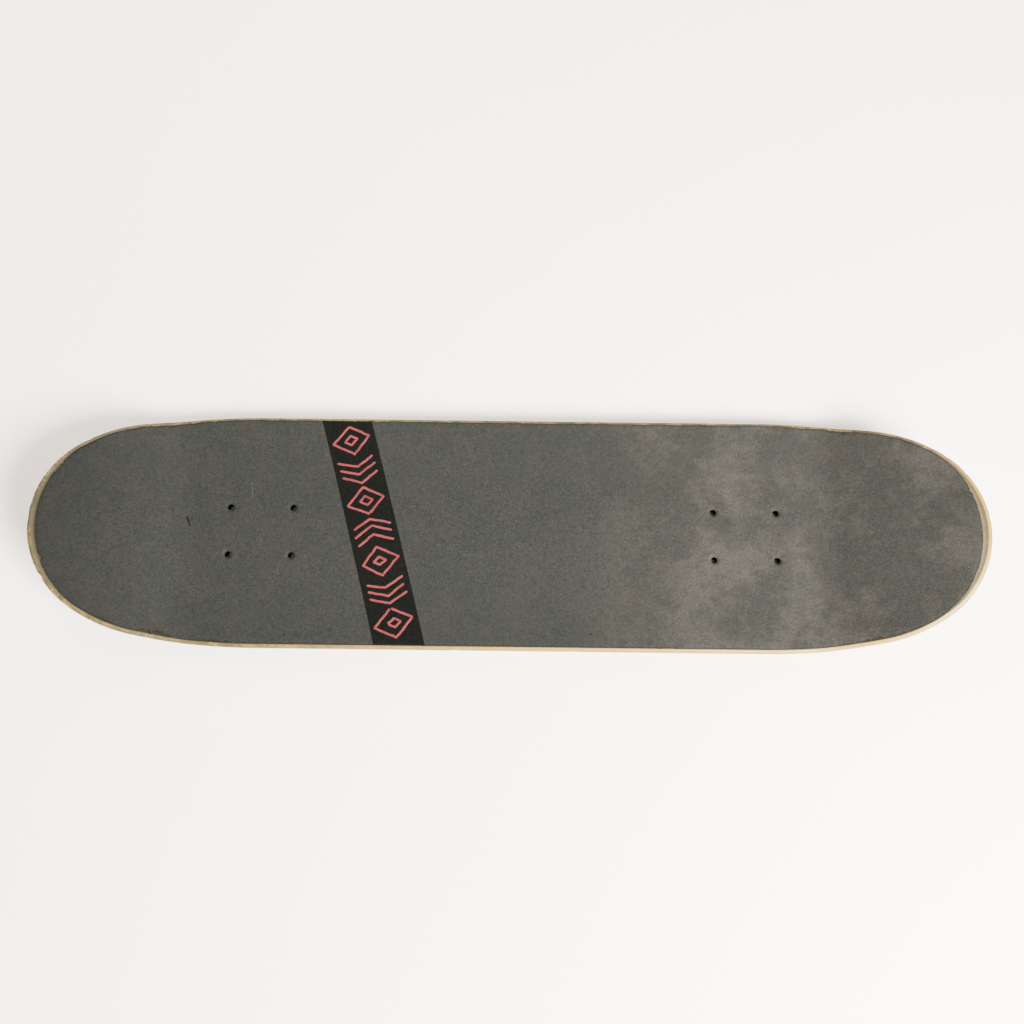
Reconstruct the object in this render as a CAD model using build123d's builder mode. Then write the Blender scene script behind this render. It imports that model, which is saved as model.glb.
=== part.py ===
from build123d import *
from math import acos, asin, cos, degrees, radians, sin, sqrt
from typing import NamedTuple
import os

# A bare street skateboard deck: seven maple veneers pressed into a concave board with a kick at each
# end, and grip tape on top in three pieces. It lies the way it is ridden: +X to the nose, +Z up.
# The origin is on the flat of the underside, half way between the two truck bolt patterns.

# Driving dimensions, in millimetres and degrees.
INCH = 25.4

deck_width = 7.875 * INCH
flat_length = 525.0  # between the two bends, along X
nose_length = 115.0  # from the end of the bend to the tip, along the kick
tail_length = 104.0
nose_angle = 21.0
tail_angle = 21.0
kick_radius = 90.0  # of each bend, on the underside
shoulder_radius = 560.0  # the long curve that leaves a straight side
corner_radius = 130.0  # the curve from a shoulder into the round tip
corner_turn = 35.5  # how far the outline has turned where the tip's curve begins
tip_radius = 84.4

concave_flat_width = 66.0  # the level strip along the middle
concave_radius = 425.0  # of the raised sides, on the underside

veneer_thickness = 1.55
veneer_names = (
    "bottom_face_ply",
    "lower_long_ply",
    "lower_cross_ply",
    "core_ply",
    "upper_cross_ply",
    "upper_long_ply",
    "top_face_ply",
)
edge_rounding = 4.0

wheelbase = 14.25 * INCH  # between the inner bolts of the two patterns
bolt_pitch_x = 2.125 * INCH
bolt_pitch_y = 1.625 * INCH
bolt_hole_radius = 2.6
countersink_radius = 4.7
countersink_angle = 90.0

grip_thickness = 0.8
grip_side_margin = 3.6  # from the deck's side to the edge of the tape
grip_tip_margin = 7.2  # from the deck's tip to the edge of the tape
grip_hole_radius = 3.0
stripe_width = 41.5
stripe_centre = -111.0  # where the stripe crosses the middle line
stripe_lean = 15.0  # off square to the board

# Worked out from the sizes above.
deck_thickness = veneer_thickness * len(veneer_names)
half_width = deck_width / 2
half_flat = flat_length / 2
half_pressed = concave_flat_width / 2
trim = 14.0  # how far a pressed sheet runs past the finished outline
cut_start = 30.0  # how far under a kick the cut to the outline starts
beyond_tips = half_flat + kick_radius + nose_length + tail_length
pattern_centre = wheelbase / 2 + bolt_pitch_x / 2


class Kick(NamedTuple):
    side: int  # +1 at the nose, -1 at the tail
    angle: float
    length: float

    def bend_start(self):
        """The plane across the board where the bend begins, facing the tip."""
        return Plane(origin=(self.side * half_flat, 0, 0), x_dir=(0, self.side, 0), z_dir=(self.side, 0, 0))

    def bend_axis(self):
        """The line above the deck that the bend turns about."""
        return Axis((self.side * half_flat, 0, kick_radius), (0, -self.side, 0))

    def bend_end(self):
        """The plane across the board where the bend ends and the flat of the kick begins."""
        slope = radians(self.angle)
        reach = half_flat + kick_radius * sin(slope)
        rise = kick_radius * (1 - cos(slope))
        return Plane(
            origin=(self.side * reach, 0, rise),
            x_dir=(0, self.side, 0),
            z_dir=(self.side * cos(slope), 0, sin(slope)),
        )

    def face(self):
        """The plane of the kick's underside, with x towards the tip."""
        end = self.bend_end()
        return Plane(origin=end.origin, x_dir=end.z_dir, z_dir=end.y_dir)


kicks = (Kick(1, nose_angle, nose_length), Kick(-1, tail_angle, tail_length))


def pressed_section(plane, low, high):
    """The cross-section of a sheet between two heights above the underside: level, with raised sides."""
    sweep = degrees(asin((half_width + trim - half_pressed) / concave_radius))
    with BuildSketch(plane) as section:
        with BuildLine():
            Line((-half_pressed, low), (half_pressed, low))
            right = (half_pressed, concave_radius)
            right_low = CenterArc(right, concave_radius - low, -90, sweep)
            right_high = CenterArc(right, concave_radius - high, -90, sweep)
            Line(right_low @ 1, right_high @ 1)
            Line((half_pressed, high), (-half_pressed, high))
            left = (-half_pressed, concave_radius)
            left_high = CenterArc(left, concave_radius - high, -90, -sweep)
            left_low = CenterArc(left, concave_radius - low, -90, -sweep)
            Line(left_high @ 1, left_low @ 1)
        make_face()
    return section.sketch


def pressed_half(kick, low, high):
    """An untrimmed sheet of the pressed board, from its middle to past one tip."""
    middle = Plane(origin=(0, 0, 0), x_dir=(0, kick.side, 0), z_dir=(kick.side, 0, 0))
    with BuildPart() as sheet:
        extrude(pressed_section(middle, low, high), amount=half_flat)
        bend = pressed_section(kick.bend_start(), low, high)
        revolve(bend, axis=kick.bend_axis(), revolution_arc=kick.angle)
        extrude(pressed_section(kick.bend_end(), low, high), amount=kick.length + trim)
    return sheet.part


def pressed_sheet(low, high, inset, tip_inset):
    """A sheet of the pressed board between two heights above the underside, cut to the deck's outline
    less an inset along its sides and at its tips. The cut is square to the nearer kick."""
    half = half_width - inset
    shoulder = shoulder_radius - inset
    corner = corner_radius - inset
    tip = tip_radius - inset
    turned = radians(corner_turn)
    turn = acos((shoulder - half - (corner - tip) * cos(turned)) / (shoulder - corner))
    curved_length = shoulder * sin(turn) + corner * (sin(turned) - sin(turn)) + tip * (1 - sin(turned))
    halves = []
    for kick in kicks:
        straight_end = kick.length - tip_inset - curved_length
        with BuildPart() as trimmed:
            add(pressed_half(kick, low, high))
            with BuildSketch(kick.face().offset(-cut_start)):
                with BuildLine():
                    side = Line((-beyond_tips, -half), (straight_end, -half))
                    near = JernArc(side @ 1, side % 1, shoulder, degrees(turn))
                    near_corner = JernArc(near @ 1, near % 1, corner, corner_turn - degrees(turn))
                    end = JernArc(near_corner @ 1, near_corner % 1, tip, 180 - 2 * corner_turn)
                    far_corner = JernArc(end @ 1, end % 1, corner, corner_turn - degrees(turn))
                    far = JernArc(far_corner @ 1, far_corner % 1, shoulder, degrees(turn))
                    back = Line(far @ 1, (-beyond_tips, half))
                    Line(back @ 1, side @ 0)
                make_face()
            extrude(amount=beyond_tips, mode=Mode.INTERSECT)
        halves.append(trimmed.part)
    with BuildPart() as sheet:
        add(halves)
    return sheet.part


def rounding_inset(height):
    """How far the rounded edge lies inside the outline, at a height above the underside."""
    depth = min(height, deck_thickness - height)
    if depth >= edge_rounding:
        return 0.0
    return edge_rounding - sqrt(edge_rounding**2 - (edge_rounding - depth) ** 2)


# The veneers, from the bottom up. Each is cut to the outline, less what the rounding of the edge takes
# from it at half its thickness, and drilled for the bolts with a countersink from the top of the deck.
os.makedirs("parts", exist_ok=True)
for layer, name in enumerate(veneer_names):
    low = layer * veneer_thickness
    high = low + veneer_thickness
    with BuildPart() as veneer:
        rounded = rounding_inset((low + high) / 2)
        add(pressed_sheet(low, high, rounded, rounded))
        with Locations(Plane.XY.offset(deck_thickness)):
            with Locations((pattern_centre, 0), (-pattern_centre, 0)):
                with GridLocations(bolt_pitch_x, bolt_pitch_y, 2, 2):
                    CounterSinkHole(
                        bolt_hole_radius,
                        countersink_radius,
                        depth=2 * deck_thickness,
                        counter_sink_angle=countersink_angle,
                    )
    veneer.part.label = name
    export_step(veneer.part, f"parts/{name}.step")

# Grip tape: one trimmed sheet, cut in three by the two leaning edges of the stripe.
grip_sheet = pressed_sheet(
    deck_thickness, deck_thickness + grip_thickness, grip_side_margin, grip_tip_margin
)
stripe_plane = Plane(origin=(stripe_centre, 0, 0), z_dir=(0, 0, 1)).rotated((0, 0, stripe_lean))


def grip_piece(name, near, far):
    """The part of the tape between two distances from the stripe's middle line, measured square to it."""
    with BuildPart() as grip:
        add(grip_sheet)
        with BuildSketch(stripe_plane):
            with Locations(((near + far) / 2, 0)):
                Rectangle(far - near, beyond_tips)
        extrude(amount=beyond_tips, both=True, mode=Mode.INTERSECT)
        with Locations((pattern_centre, 0), (-pattern_centre, 0)):
            with GridLocations(bolt_pitch_x, bolt_pitch_y, 2, 2):
                Hole(grip_hole_radius)
    grip.part.label = name
    export_step(grip.part, f"parts/{name}.step")


grip_piece("tail_grip", -beyond_tips, -stripe_width / 2)
grip_piece("stripe_grip", -stripe_width / 2, stripe_width / 2)
grip_piece("nose_grip", stripe_width / 2, beyond_tips)
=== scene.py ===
"""A bare, used street skateboard deck: seven pressed maple veneers under three pieces of grip tape.

Lengths are in metres and angles in radians. The deck lies the way it is ridden: +X to the nose, +Z up,
with the origin on the flat of the underside, half way between the two bolt patterns.

The flat pattern is the deck unrolled: its first coordinate runs along the underside from the middle of
the board to a tip, its second runs across the board. Heights are above the underside, square to it.
"""

from __future__ import annotations

import logging
import math
from dataclasses import dataclass, field
from enum import Enum
from typing import Any, Callable, NamedTuple, Sequence

import bpy
import numpy as np
from mathutils import Matrix, Vector, noise
from mathutils.geometry import delaunay_2d_cdt
from mathutils.kdtree import KDTree

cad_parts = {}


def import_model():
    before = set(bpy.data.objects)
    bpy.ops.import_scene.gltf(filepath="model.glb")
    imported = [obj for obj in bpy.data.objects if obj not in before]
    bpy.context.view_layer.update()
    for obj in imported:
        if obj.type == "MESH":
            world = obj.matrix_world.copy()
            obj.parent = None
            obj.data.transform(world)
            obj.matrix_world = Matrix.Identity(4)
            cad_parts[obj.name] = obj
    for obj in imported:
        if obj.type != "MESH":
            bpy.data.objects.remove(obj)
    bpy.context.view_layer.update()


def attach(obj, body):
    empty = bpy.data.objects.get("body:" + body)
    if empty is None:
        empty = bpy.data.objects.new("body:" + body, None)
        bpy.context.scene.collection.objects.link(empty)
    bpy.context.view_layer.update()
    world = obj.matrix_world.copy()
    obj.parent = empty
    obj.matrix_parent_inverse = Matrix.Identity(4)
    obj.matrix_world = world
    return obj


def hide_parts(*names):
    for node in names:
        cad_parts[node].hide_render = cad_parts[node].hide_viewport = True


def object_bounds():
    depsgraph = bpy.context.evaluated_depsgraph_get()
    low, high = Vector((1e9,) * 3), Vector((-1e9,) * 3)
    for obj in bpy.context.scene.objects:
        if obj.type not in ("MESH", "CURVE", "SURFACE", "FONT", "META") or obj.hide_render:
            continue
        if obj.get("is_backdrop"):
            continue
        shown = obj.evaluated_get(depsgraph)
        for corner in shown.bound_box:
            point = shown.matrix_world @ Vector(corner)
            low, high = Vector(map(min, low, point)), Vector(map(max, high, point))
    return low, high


MM = 0.001
INCH = 0.0254
FULL_TURN = 6.28  # of a bit or a grain turned at random
WELD = 1e-5  # millimetres: points nearer than this are one
SLIVER = 1e-13  # square metres: twice the area of the smallest triangle that is kept
ABOVE_ALL = 0.2  # a height over every part of the deck, to look down from
BODY = "root"

log = logging.getLogger("deck")


# --- Shape of the pressed board -------------------------------------------------------------------


@dataclass(frozen=True)
class Kick:
    """One turned-up end of the board."""

    side: int
    angle: float
    length: float


class Edge(NamedTuple):
    """The deck's outline, anticlockwise from the middle of the near side, free to be moved inwards."""

    side: np.ndarray
    angle: np.ndarray
    along: np.ndarray
    across: np.ndarray
    normal_along: np.ndarray
    normal_across: np.ndarray


@dataclass(frozen=True)
class PressedBoard:
    """The pressed shape: a level strip with raised sides, bent up at the nose and the tail."""

    width: float = 7.875 * INCH
    flat_length: float = 525 * MM
    nose: Kick = Kick(1, math.radians(21.0), 115 * MM)
    tail: Kick = Kick(-1, math.radians(21.0), 104 * MM)
    kick_radius: float = 90 * MM
    shoulder_radius: float = 560 * MM
    corner_radius: float = 130 * MM
    corner_turn: float = math.radians(35.5)
    tip_radius: float = 84.4 * MM
    level_width: float = 66 * MM
    concave_radius: float = 425 * MM
    thickness: float = 10.85 * MM
    edge_rounding: float = 4 * MM

    def place(self, flat: np.ndarray, height: np.ndarray | float) -> np.ndarray:
        """Bend points of the flat pattern onto the board.

        Args:
            flat: (n, 2) points of the flat pattern.
            height: height of each point, or of them all, above the underside.

        Returns:
            (n, 3) points in the row's frame.
        """
        along, across = flat[:, 0], flat[:, 1]
        end = np.where(along >= 0, 1.0, -1.0)
        angle = np.where(along >= 0, self.nose.angle, self.tail.angle)
        reach = np.maximum(np.abs(across) - self.level_width / 2, 0.0)
        arc = self.concave_radius - height
        rise = self.concave_radius - np.sqrt(arc * arc - reach * reach)
        past = np.maximum(np.abs(along) - self.flat_length / 2, 0.0)
        turn = np.minimum(past / self.kick_radius, angle)
        straight = np.maximum(past - self.kick_radius * angle, 0.0)
        x = np.minimum(np.abs(along), self.flat_length / 2) + self.kick_radius * np.sin(turn)
        z = self.kick_radius * (1 - np.cos(turn)) + straight * np.sin(turn)
        x = x + straight * np.cos(turn) - rise * np.sin(turn)
        return np.column_stack([end * x, across, z + rise * np.cos(turn)])

    def along(self, angle: np.ndarray, kick_reach: np.ndarray) -> np.ndarray:
        """How far along the underside a point lies, from its reach past the bend on the kick's plane.

        Args:
            angle: the angle of the kick that each point belongs to.
            kick_reach: distance past the end of the bend, measured on the kick's plane.

        Returns:
            Distances from the middle of the board, all positive.
        """
        bend = self.kick_radius * np.sin(angle)
        in_flat = self.flat_length / 2 + (kick_reach + bend) / np.cos(angle)
        turned = angle + np.arcsin(np.clip(kick_reach / self.kick_radius, -0.9, 0.0))
        in_bend = self.flat_length / 2 + self.kick_radius * turned
        on_kick = self.flat_length / 2 + self.kick_radius * angle + kick_reach
        return np.where(kick_reach < -bend, in_flat, np.where(kick_reach < 0, in_bend, on_kick))

    def quarter(self, kick: Kick, spacing: float) -> np.ndarray:
        """A quarter of the outline, on one kick's plane, from the middle of the far side to the tip.

        Args:
            kick: the end of the board.
            spacing: the distance between neighbouring points.

        Returns:
            (n, 4) rows of reach past the bend, distance across, and the outward normal's two parts.
        """
        half, shoulder, corner, tip = self.width / 2, self.shoulder_radius, self.corner_radius, self.tip_radius
        turned = self.corner_turn
        turn = math.acos((shoulder - half - (corner - tip) * math.cos(turned)) / (shoulder - corner))
        tip_centre = (kick.length - tip, 0.0)
        corner_centre = (tip_centre[0] - (corner - tip) * math.sin(turned), -(corner - tip) * math.cos(turned))
        straight_end = corner_centre[0] - (shoulder - corner) * math.sin(turn)
        middle = -self.flat_length / 2 * math.cos(kick.angle) - self.kick_radius * math.sin(kick.angle)
        reach = np.linspace(middle, straight_end, max(2, round((straight_end - middle) / spacing)), False)
        rows = [np.column_stack([reach, np.full_like(reach, half), 0 * reach, 0 * reach + 1])]
        arcs = (
            (shoulder, (straight_end, half - shoulder), 0.0, turn),
            (corner, corner_centre, turn, turned),
            (tip, tip_centre, turned, math.pi / 2),
        )
        for radius, centre, start, end in arcs:
            last = end == math.pi / 2
            lean = np.linspace(start, end, max(2, round(radius * (end - start) / spacing)), last)
            sine, cosine = np.sin(lean), np.cos(lean)
            rows.append(np.column_stack([centre[0] + radius * sine, centre[1] + radius * cosine, sine, cosine]))
        return np.concatenate(rows)

    def edge(self, spacing: float) -> Edge:
        """The whole outline.

        Args:
            spacing: the distance between neighbouring points.

        Returns:
            The outline's points and outward normals.
        """
        nose, tail = self.quarter(self.nose, spacing), self.quarter(self.tail, spacing)
        near, far = np.array([1, -1, 1, -1]), np.array([1, 1, 1, 1])
        runs = (
            (self.nose, nose[:-1] * near),
            (self.nose, nose[::-1][:-1] * far),
            (self.tail, tail[:-1] * far),
            (self.tail, tail[::-1][:-1] * near),
        )
        rows = np.concatenate([run for _, run in runs])
        side = np.concatenate([np.full(len(run), kick.side) for kick, run in runs])
        angle = np.concatenate([np.full(len(run), kick.angle) for kick, run in runs])
        return Edge(side, angle, rows[:, 0], rows[:, 1], rows[:, 2], rows[:, 3])

    def outline(self, edge: Edge, inset: np.ndarray | float) -> np.ndarray:
        """The outline moved inwards, on the flat pattern.

        Args:
            edge: the outline.
            inset: how far each point, or every point, moves inwards.

        Returns:
            (n, 2) points of the flat pattern, anticlockwise.
        """
        reach = edge.along - inset * edge.normal_along
        across = edge.across - inset * edge.normal_across
        return np.column_stack([edge.side * self.along(edge.angle, reach), across])

    def rounding(self, height: float) -> float:
        """How far the rounded edge lies inside the outline at a height."""
        depth = min(height, self.thickness - height)
        if depth >= self.edge_rounding:
            return 0.0
        return self.edge_rounding - math.sqrt(self.edge_rounding**2 - (self.edge_rounding - depth) ** 2)


@dataclass(frozen=True)
class BoltPattern:
    """The truck bolt holes, four near each end."""

    wheelbase: float = 14.25 * INCH
    pitch_along: float = 2.125 * INCH
    pitch_across: float = 1.625 * INCH
    hole_radius: float = 2.6 * MM
    countersink_radius: float = 4.7 * MM

    def centres(self) -> list[tuple[float, float]]:
        """The middle of each hole, which lies on the level part of the board."""
        middle = self.wheelbase / 2 + self.pitch_along / 2
        return [
            (end * middle + i * self.pitch_along / 2, j * self.pitch_across / 2)
            for end in (1, -1)
            for i in (1, -1)
            for j in (1, -1)
        ]


# --- Meshes ---------------------------------------------------------------------------------------


class Patch(NamedTuple):
    """A flat pattern cut into triangles, with the numbers of the points round each of its edges."""

    points: np.ndarray
    triangles: np.ndarray
    loops: list[np.ndarray]


def rough(points: np.ndarray, scale: float, seed: float) -> np.ndarray:
    """Smooth random values from about -1 to 1.

    Args:
        points: (n, 2) or (n, 3) places to read the values at.
        scale: features per metre.
        seed: picks one of many different fields.

    Returns:
        One value a point.
    """
    deep = points if points.shape[1] == 3 else np.column_stack([points, np.zeros(len(points))])
    shifted = deep * scale + np.array([seed * 7.31, seed * 3.17, seed * 5.71])
    return np.array([noise.noise(Vector(p)) for p in shifted])


def inside(points: np.ndarray, loops: Sequence[np.ndarray]) -> np.ndarray:
    """Which points lie inside the first loop and outside the others, by counting crossings."""
    odd = np.zeros(len(points), bool)
    for loop in loops:
        for (x0, y0), (x1, y1) in zip(loop, np.roll(loop, -1, 0)):
            if y0 != y1:
                between = (points[:, 1] >= min(y0, y1)) & (points[:, 1] < max(y0, y1))
                crossing = x0 + (points[:, 1] - y0) * (x1 - x0) / (y1 - y0)
                odd ^= between & (points[:, 0] < crossing)
    return odd


def circle(count: int) -> np.ndarray:
    """Points spread evenly round a circle of radius one."""
    turn = np.linspace(0, 2 * math.pi, count, endpoint=False)
    return np.column_stack([np.cos(turn), np.sin(turn)])


def distance_to(points: np.ndarray, targets: np.ndarray) -> np.ndarray:
    """Each point's distance to the nearest of the targets, on the flat pattern."""
    tree = KDTree(len(targets))
    for number, target in enumerate(targets):
        tree.insert((target[0], target[1], 0.0), number)
    tree.balance()
    return np.array([tree.find((x, y, 0.0))[2] for x, y in points])


def triangulate(loops: Sequence[np.ndarray], spacing: float, clearance: float, extra: np.ndarray) -> Patch:
    """Cut a flat pattern into triangles.

    Args:
        loops: the outer edge, then each hole.
        spacing: the distance between points away from the edges.
        clearance: how far those points stay from every edge.
        extra: (n, 2) more points to use, which may be none.

    Returns:
        The triangles, anticlockwise.
    """
    corners = np.concatenate(loops)
    low, high = loops[0].min(0), loops[0].max(0)
    rows = []
    for number, row in enumerate(np.arange(low[1], high[1], spacing * math.sqrt(3) / 2)):
        places = np.arange(low[0] + (number % 2) * spacing / 2, high[0], spacing)
        rows.append(np.column_stack([places, np.full_like(places, row)]))
    inner = np.concatenate(rows)
    inner = inner[inside(inner, loops)]
    inner = inner[distance_to(inner, corners) > clearance]
    if len(extra):
        inner = np.concatenate([inner[distance_to(inner, extra) > 0.6 * spacing], extra])
    points = np.concatenate([corners, inner])
    edges, start = [], 0
    for loop in loops:
        count = len(loop)
        edges += [(start + i, start + (i + 1) % count) for i in range(count)]
        start += count
    in_mm = [Vector(point / MM) for point in points]
    places, _, faces, sources, _, _ = delaunay_2d_cdt(in_mm, edges, [], 0, WELD)
    number = {source: new for new, group in enumerate(sources) for source in group}
    result = np.array([tuple(p) for p in places]) * MM
    triangles = np.array([face for face in faces if len(face) == 3])
    a, b, c = (result[triangles[:, i]] for i in range(3))
    turn = (b[:, 0] - a[:, 0]) * (c[:, 1] - a[:, 1]) - (b[:, 1] - a[:, 1]) * (c[:, 0] - a[:, 0])
    triangles[turn < 0] = triangles[turn < 0][:, ::-1]
    triangles = triangles[inside((a + b + c) / 3, loops) & (np.abs(turn) > SLIVER)]
    numbered, start = [], 0
    for loop in loops:
        numbered.append(np.array([number[start + i] for i in range(len(loop))]))
        start += len(loop)
    return Patch(result, triangles, numbered)


class Shell:
    """A closed solid between two patches whose edges match, point for point."""

    def __init__(self) -> None:
        """Start with no points and no faces."""
        self.points: list[np.ndarray] = []
        self.marks: list[np.ndarray] = []
        self.faces: list[tuple[int, ...]] = []
        self.count = 0

    def add_points(self, points: np.ndarray, mark: np.ndarray | float) -> int:
        """Take in points, each with a value from 0 at the deck's edge, and return the first one's number."""
        first = self.count
        self.points.append(points)
        self.marks.append(np.broadcast_to(np.asarray(mark, float), (len(points),)))
        self.count += len(points)
        return first

    def add_strip(self, low: np.ndarray, high: np.ndarray, outer: bool) -> None:
        """Join two rings of point numbers with faces that look outwards."""
        for i in range(len(low)):
            j = (i + 1) % len(low)
            quad = (int(low[i]), int(low[j]), int(high[j]), int(high[i]))
            self.faces.append(quad if outer else quad[::-1])

    def make(self, name: str, smooth_angle: float = math.radians(38)) -> bpy.types.Object:
        """Turn the shell into an object.

        Args:
            name: the object's name.
            smooth_angle: faces that meet at more than this keep a crisp edge.

        Returns:
            The object, at the origin, with the values of its points in the attribute from_edge.
        """
        mesh = bpy.data.meshes.new(name)
        mesh.from_pydata([tuple(p) for p in np.concatenate(self.points)], [], self.faces)
        mark = mesh.attributes.new("from_edge", "FLOAT", "POINT")
        mark.data.foreach_set("value", np.concatenate(self.marks).astype(np.float32))
        mesh.validate()
        mesh.shade_smooth()
        mesh.set_sharp_from_angle(angle=smooth_angle)
        thing = bpy.data.objects.new(name, mesh)
        bpy.context.scene.collection.objects.link(thing)
        return thing


def close_shell(
    name: str,
    lower: Patch,
    lower_points: np.ndarray,
    upper: Patch,
    upper_points: np.ndarray,
    between: Sequence[Sequence[tuple[np.ndarray, np.ndarray | float]]],
    marks: tuple[np.ndarray, np.ndarray],
) -> bpy.types.Object:
    """Build a closed solid from two surfaces and the rings of its walls.

    Args:
        name: the object's name.
        lower: the triangles of the lower surface.
        lower_points: its points in the row's frame.
        upper: the triangles of the upper surface.
        upper_points: its points in the row's frame.
        between: for each loop, the rings of its wall from low to high, without the two surfaces' own:
            their points and the points' values.
        marks: the values of the lower points and of the upper points.

    Returns:
        The object.
    """
    shell = Shell()
    shell.add_points(lower_points, marks[0])
    first = shell.add_points(upper_points, marks[1])
    shell.faces += [tuple(int(i) for i in triangle[::-1]) for triangle in lower.triangles]
    shell.faces += [tuple(int(i) + first for i in triangle) for triangle in upper.triangles]
    for number, rings in enumerate(between):
        below = lower.loops[number]
        for ring, mark in rings:
            start = shell.add_points(ring, mark)
            above = np.arange(start, start + len(ring))
            shell.add_strip(below, above, number == 0)
            below = above
        shell.add_strip(below, upper.loops[number] + first, number == 0)
    return shell.make(name)


# --- Node trees -----------------------------------------------------------------------------------


class Tree:
    """A node tree under construction: adds nodes with their inputs set or linked."""

    def __init__(self, tree: bpy.types.NodeTree) -> None:
        """Wrap a node tree."""
        self.tree = tree

    def add(self, kind: str, inputs: dict[int | str, Any] | None = None, **settings: Any) -> bpy.types.Node:
        """Add a node.

        Args:
            kind: the node's type.
            inputs: for each input, by number or name, the socket to link or the value to set.
            settings: the node's own properties.

        Returns:
            The node.
        """
        node = self.tree.nodes.new(kind)
        for name, value in settings.items():
            setattr(node, name, value)
        for key, value in (inputs or {}).items():
            if isinstance(value, bpy.types.NodeSocket):
                self.tree.links.new(value, node.inputs[key])
            else:
                node.inputs[key].default_value = value
        return node

    def math(self, operation: str, first: Any, second: Any = 0.0, clamp: bool = False) -> bpy.types.NodeSocket:
        """Do a sum on one or two numbers."""
        node = self.add("ShaderNodeMath", {0: first, 1: second}, operation=operation, use_clamp=clamp)
        return node.outputs[0]

    def plus(self, first: Any, second: Any, clamp: bool = False) -> bpy.types.NodeSocket:
        """Add two numbers."""
        return self.math("ADD", first, second, clamp)

    def less(self, first: Any, second: Any, clamp: bool = False) -> bpy.types.NodeSocket:
        """Take the second number from the first."""
        return self.math("SUBTRACT", first, second, clamp)

    def times(self, first: Any, second: Any) -> bpy.types.NodeSocket:
        """Multiply two numbers."""
        return self.math("MULTIPLY", first, second)

    def highest(self, first: Any, second: Any) -> bpy.types.NodeSocket:
        """The higher of two numbers."""
        return self.math("MAXIMUM", first, second)

    def vector(self, operation: str, first: Any, second: Any) -> bpy.types.NodeSocket:
        """Do a sum on two vectors."""
        return self.add("ShaderNodeVectorMath", {0: first, 1: second}, operation=operation).outputs[0]

    def scaled(self, vector: Any, scale: Any) -> bpy.types.NodeSocket:
        """Multiply a vector by a number."""
        return self.add("ShaderNodeVectorMath", {0: vector, "Scale": scale}, operation="SCALE").outputs[0]

    def split(self, vector: Any) -> list[bpy.types.NodeSocket]:
        """A vector's three parts."""
        return list(self.add("ShaderNodeSeparateXYZ", {0: vector}).outputs)

    def join(self, x: Any, y: Any, z: Any) -> bpy.types.NodeSocket:
        """A vector from its three parts."""
        return self.add("ShaderNodeCombineXYZ", {0: x, 1: y, 2: z}).outputs[0]

    def noise(self, vector: Any, scale: Any, detail: float = 2.0, roughness: float = 0.5) -> bpy.types.NodeSocket:
        """Smooth noise from 0 to 1."""
        inputs = {"Vector": vector, "Scale": scale, "Detail": detail, "Roughness": roughness}
        return self.add("ShaderNodeTexNoise", inputs).outputs[0]

    def random(self, low: Any, high: Any, seed: Any = 0) -> bpy.types.NodeSocket:
        """A random vector for each point, between two vectors."""
        inputs = {0: low, 1: high, "Seed": seed}
        return self.add("FunctionNodeRandomValue", inputs, data_type="FLOAT_VECTOR").outputs[0]

    def span(self, value: Any, low: Any, high: Any, to_low: Any = 0.0, to_high: Any = 1.0) -> bpy.types.NodeSocket:
        """Carry a number smoothly from one span to another, held at both ends."""
        inputs = {0: value, 1: low, 2: high, 3: to_low, 4: to_high}
        return self.add("ShaderNodeMapRange", inputs, interpolation_type="SMOOTHSTEP").outputs[0]

    def mix(self, factor: Any, first: Any, second: Any, blend: str = "MIX") -> bpy.types.NodeSocket:
        """Mix two colours."""
        node = self.add("ShaderNodeMix", {0: factor, 6: first, 7: second}, data_type="RGBA", blend_type=blend)
        return node.outputs[2]

    def group(self, group: bpy.types.NodeTree, inputs: dict[int | str, Any]) -> bpy.types.Node:
        """Place a shader node group with its inputs."""
        return self.add("ShaderNodeGroup", inputs, node_tree=group)


def shader_group(
    name: str,
    inputs: Sequence[tuple[str, str, Any]],
    outputs: Sequence[str],
    build: Callable[[Tree, bpy.types.Node], Sequence[bpy.types.NodeSocket]],
) -> bpy.types.NodeTree:
    """Make a shader node group, or return it if it is there already.

    Args:
        name: the group's name.
        inputs: each input's name, kind (Float, Vector or Color) and first value.
        outputs: the names of its outputs, all numbers.
        build: fills the group from its input node and returns one socket for each output.

    Returns:
        The group.
    """
    if name in bpy.data.node_groups:
        return bpy.data.node_groups[name]
    group = bpy.data.node_groups.new(name, "ShaderNodeTree")
    for label, kind, value in inputs:
        socket = group.interface.new_socket(label, in_out="INPUT", socket_type=f"NodeSocket{kind}")
        if value is not None:
            socket.default_value = value
    for label in outputs:
        group.interface.new_socket(label, in_out="OUTPUT", socket_type="NodeSocketFloat")
    tree = Tree(group)
    entry = tree.add("NodeGroupInput")
    leave = tree.add("NodeGroupOutput")
    for number, socket in enumerate(build(tree, entry)):
        group.links.new(socket, leave.inputs[number])
    return group


def blotches() -> bpy.types.NodeTree:
    """Soft-edged patches of a given size, as a mask."""

    def build(tree: Tree, entry: bpy.types.Node) -> list[bpy.types.NodeSocket]:
        """Two layers of noise, the finer one breaking up the edges of the coarser."""
        scale = tree.math("DIVIDE", 1.0, entry.outputs["Size"])
        coarse = tree.noise(entry.outputs["Vector"], scale, 3.0, 0.6)
        fine = tree.noise(entry.outputs["Vector"], tree.times(scale, 7.0), 2.0, 0.6)
        both = tree.plus(coarse, tree.times(tree.less(fine, 0.5), 0.25))
        return [tree.span(both, entry.outputs["Low"], entry.outputs["High"])]

    inputs = (("Vector", "Vector", None), ("Size", "Float", 20 * MM), ("Low", "Float", 0.45), ("High", "Float", 0.6))
    return shader_group("blotches", inputs, ("Mask",), build)


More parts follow.
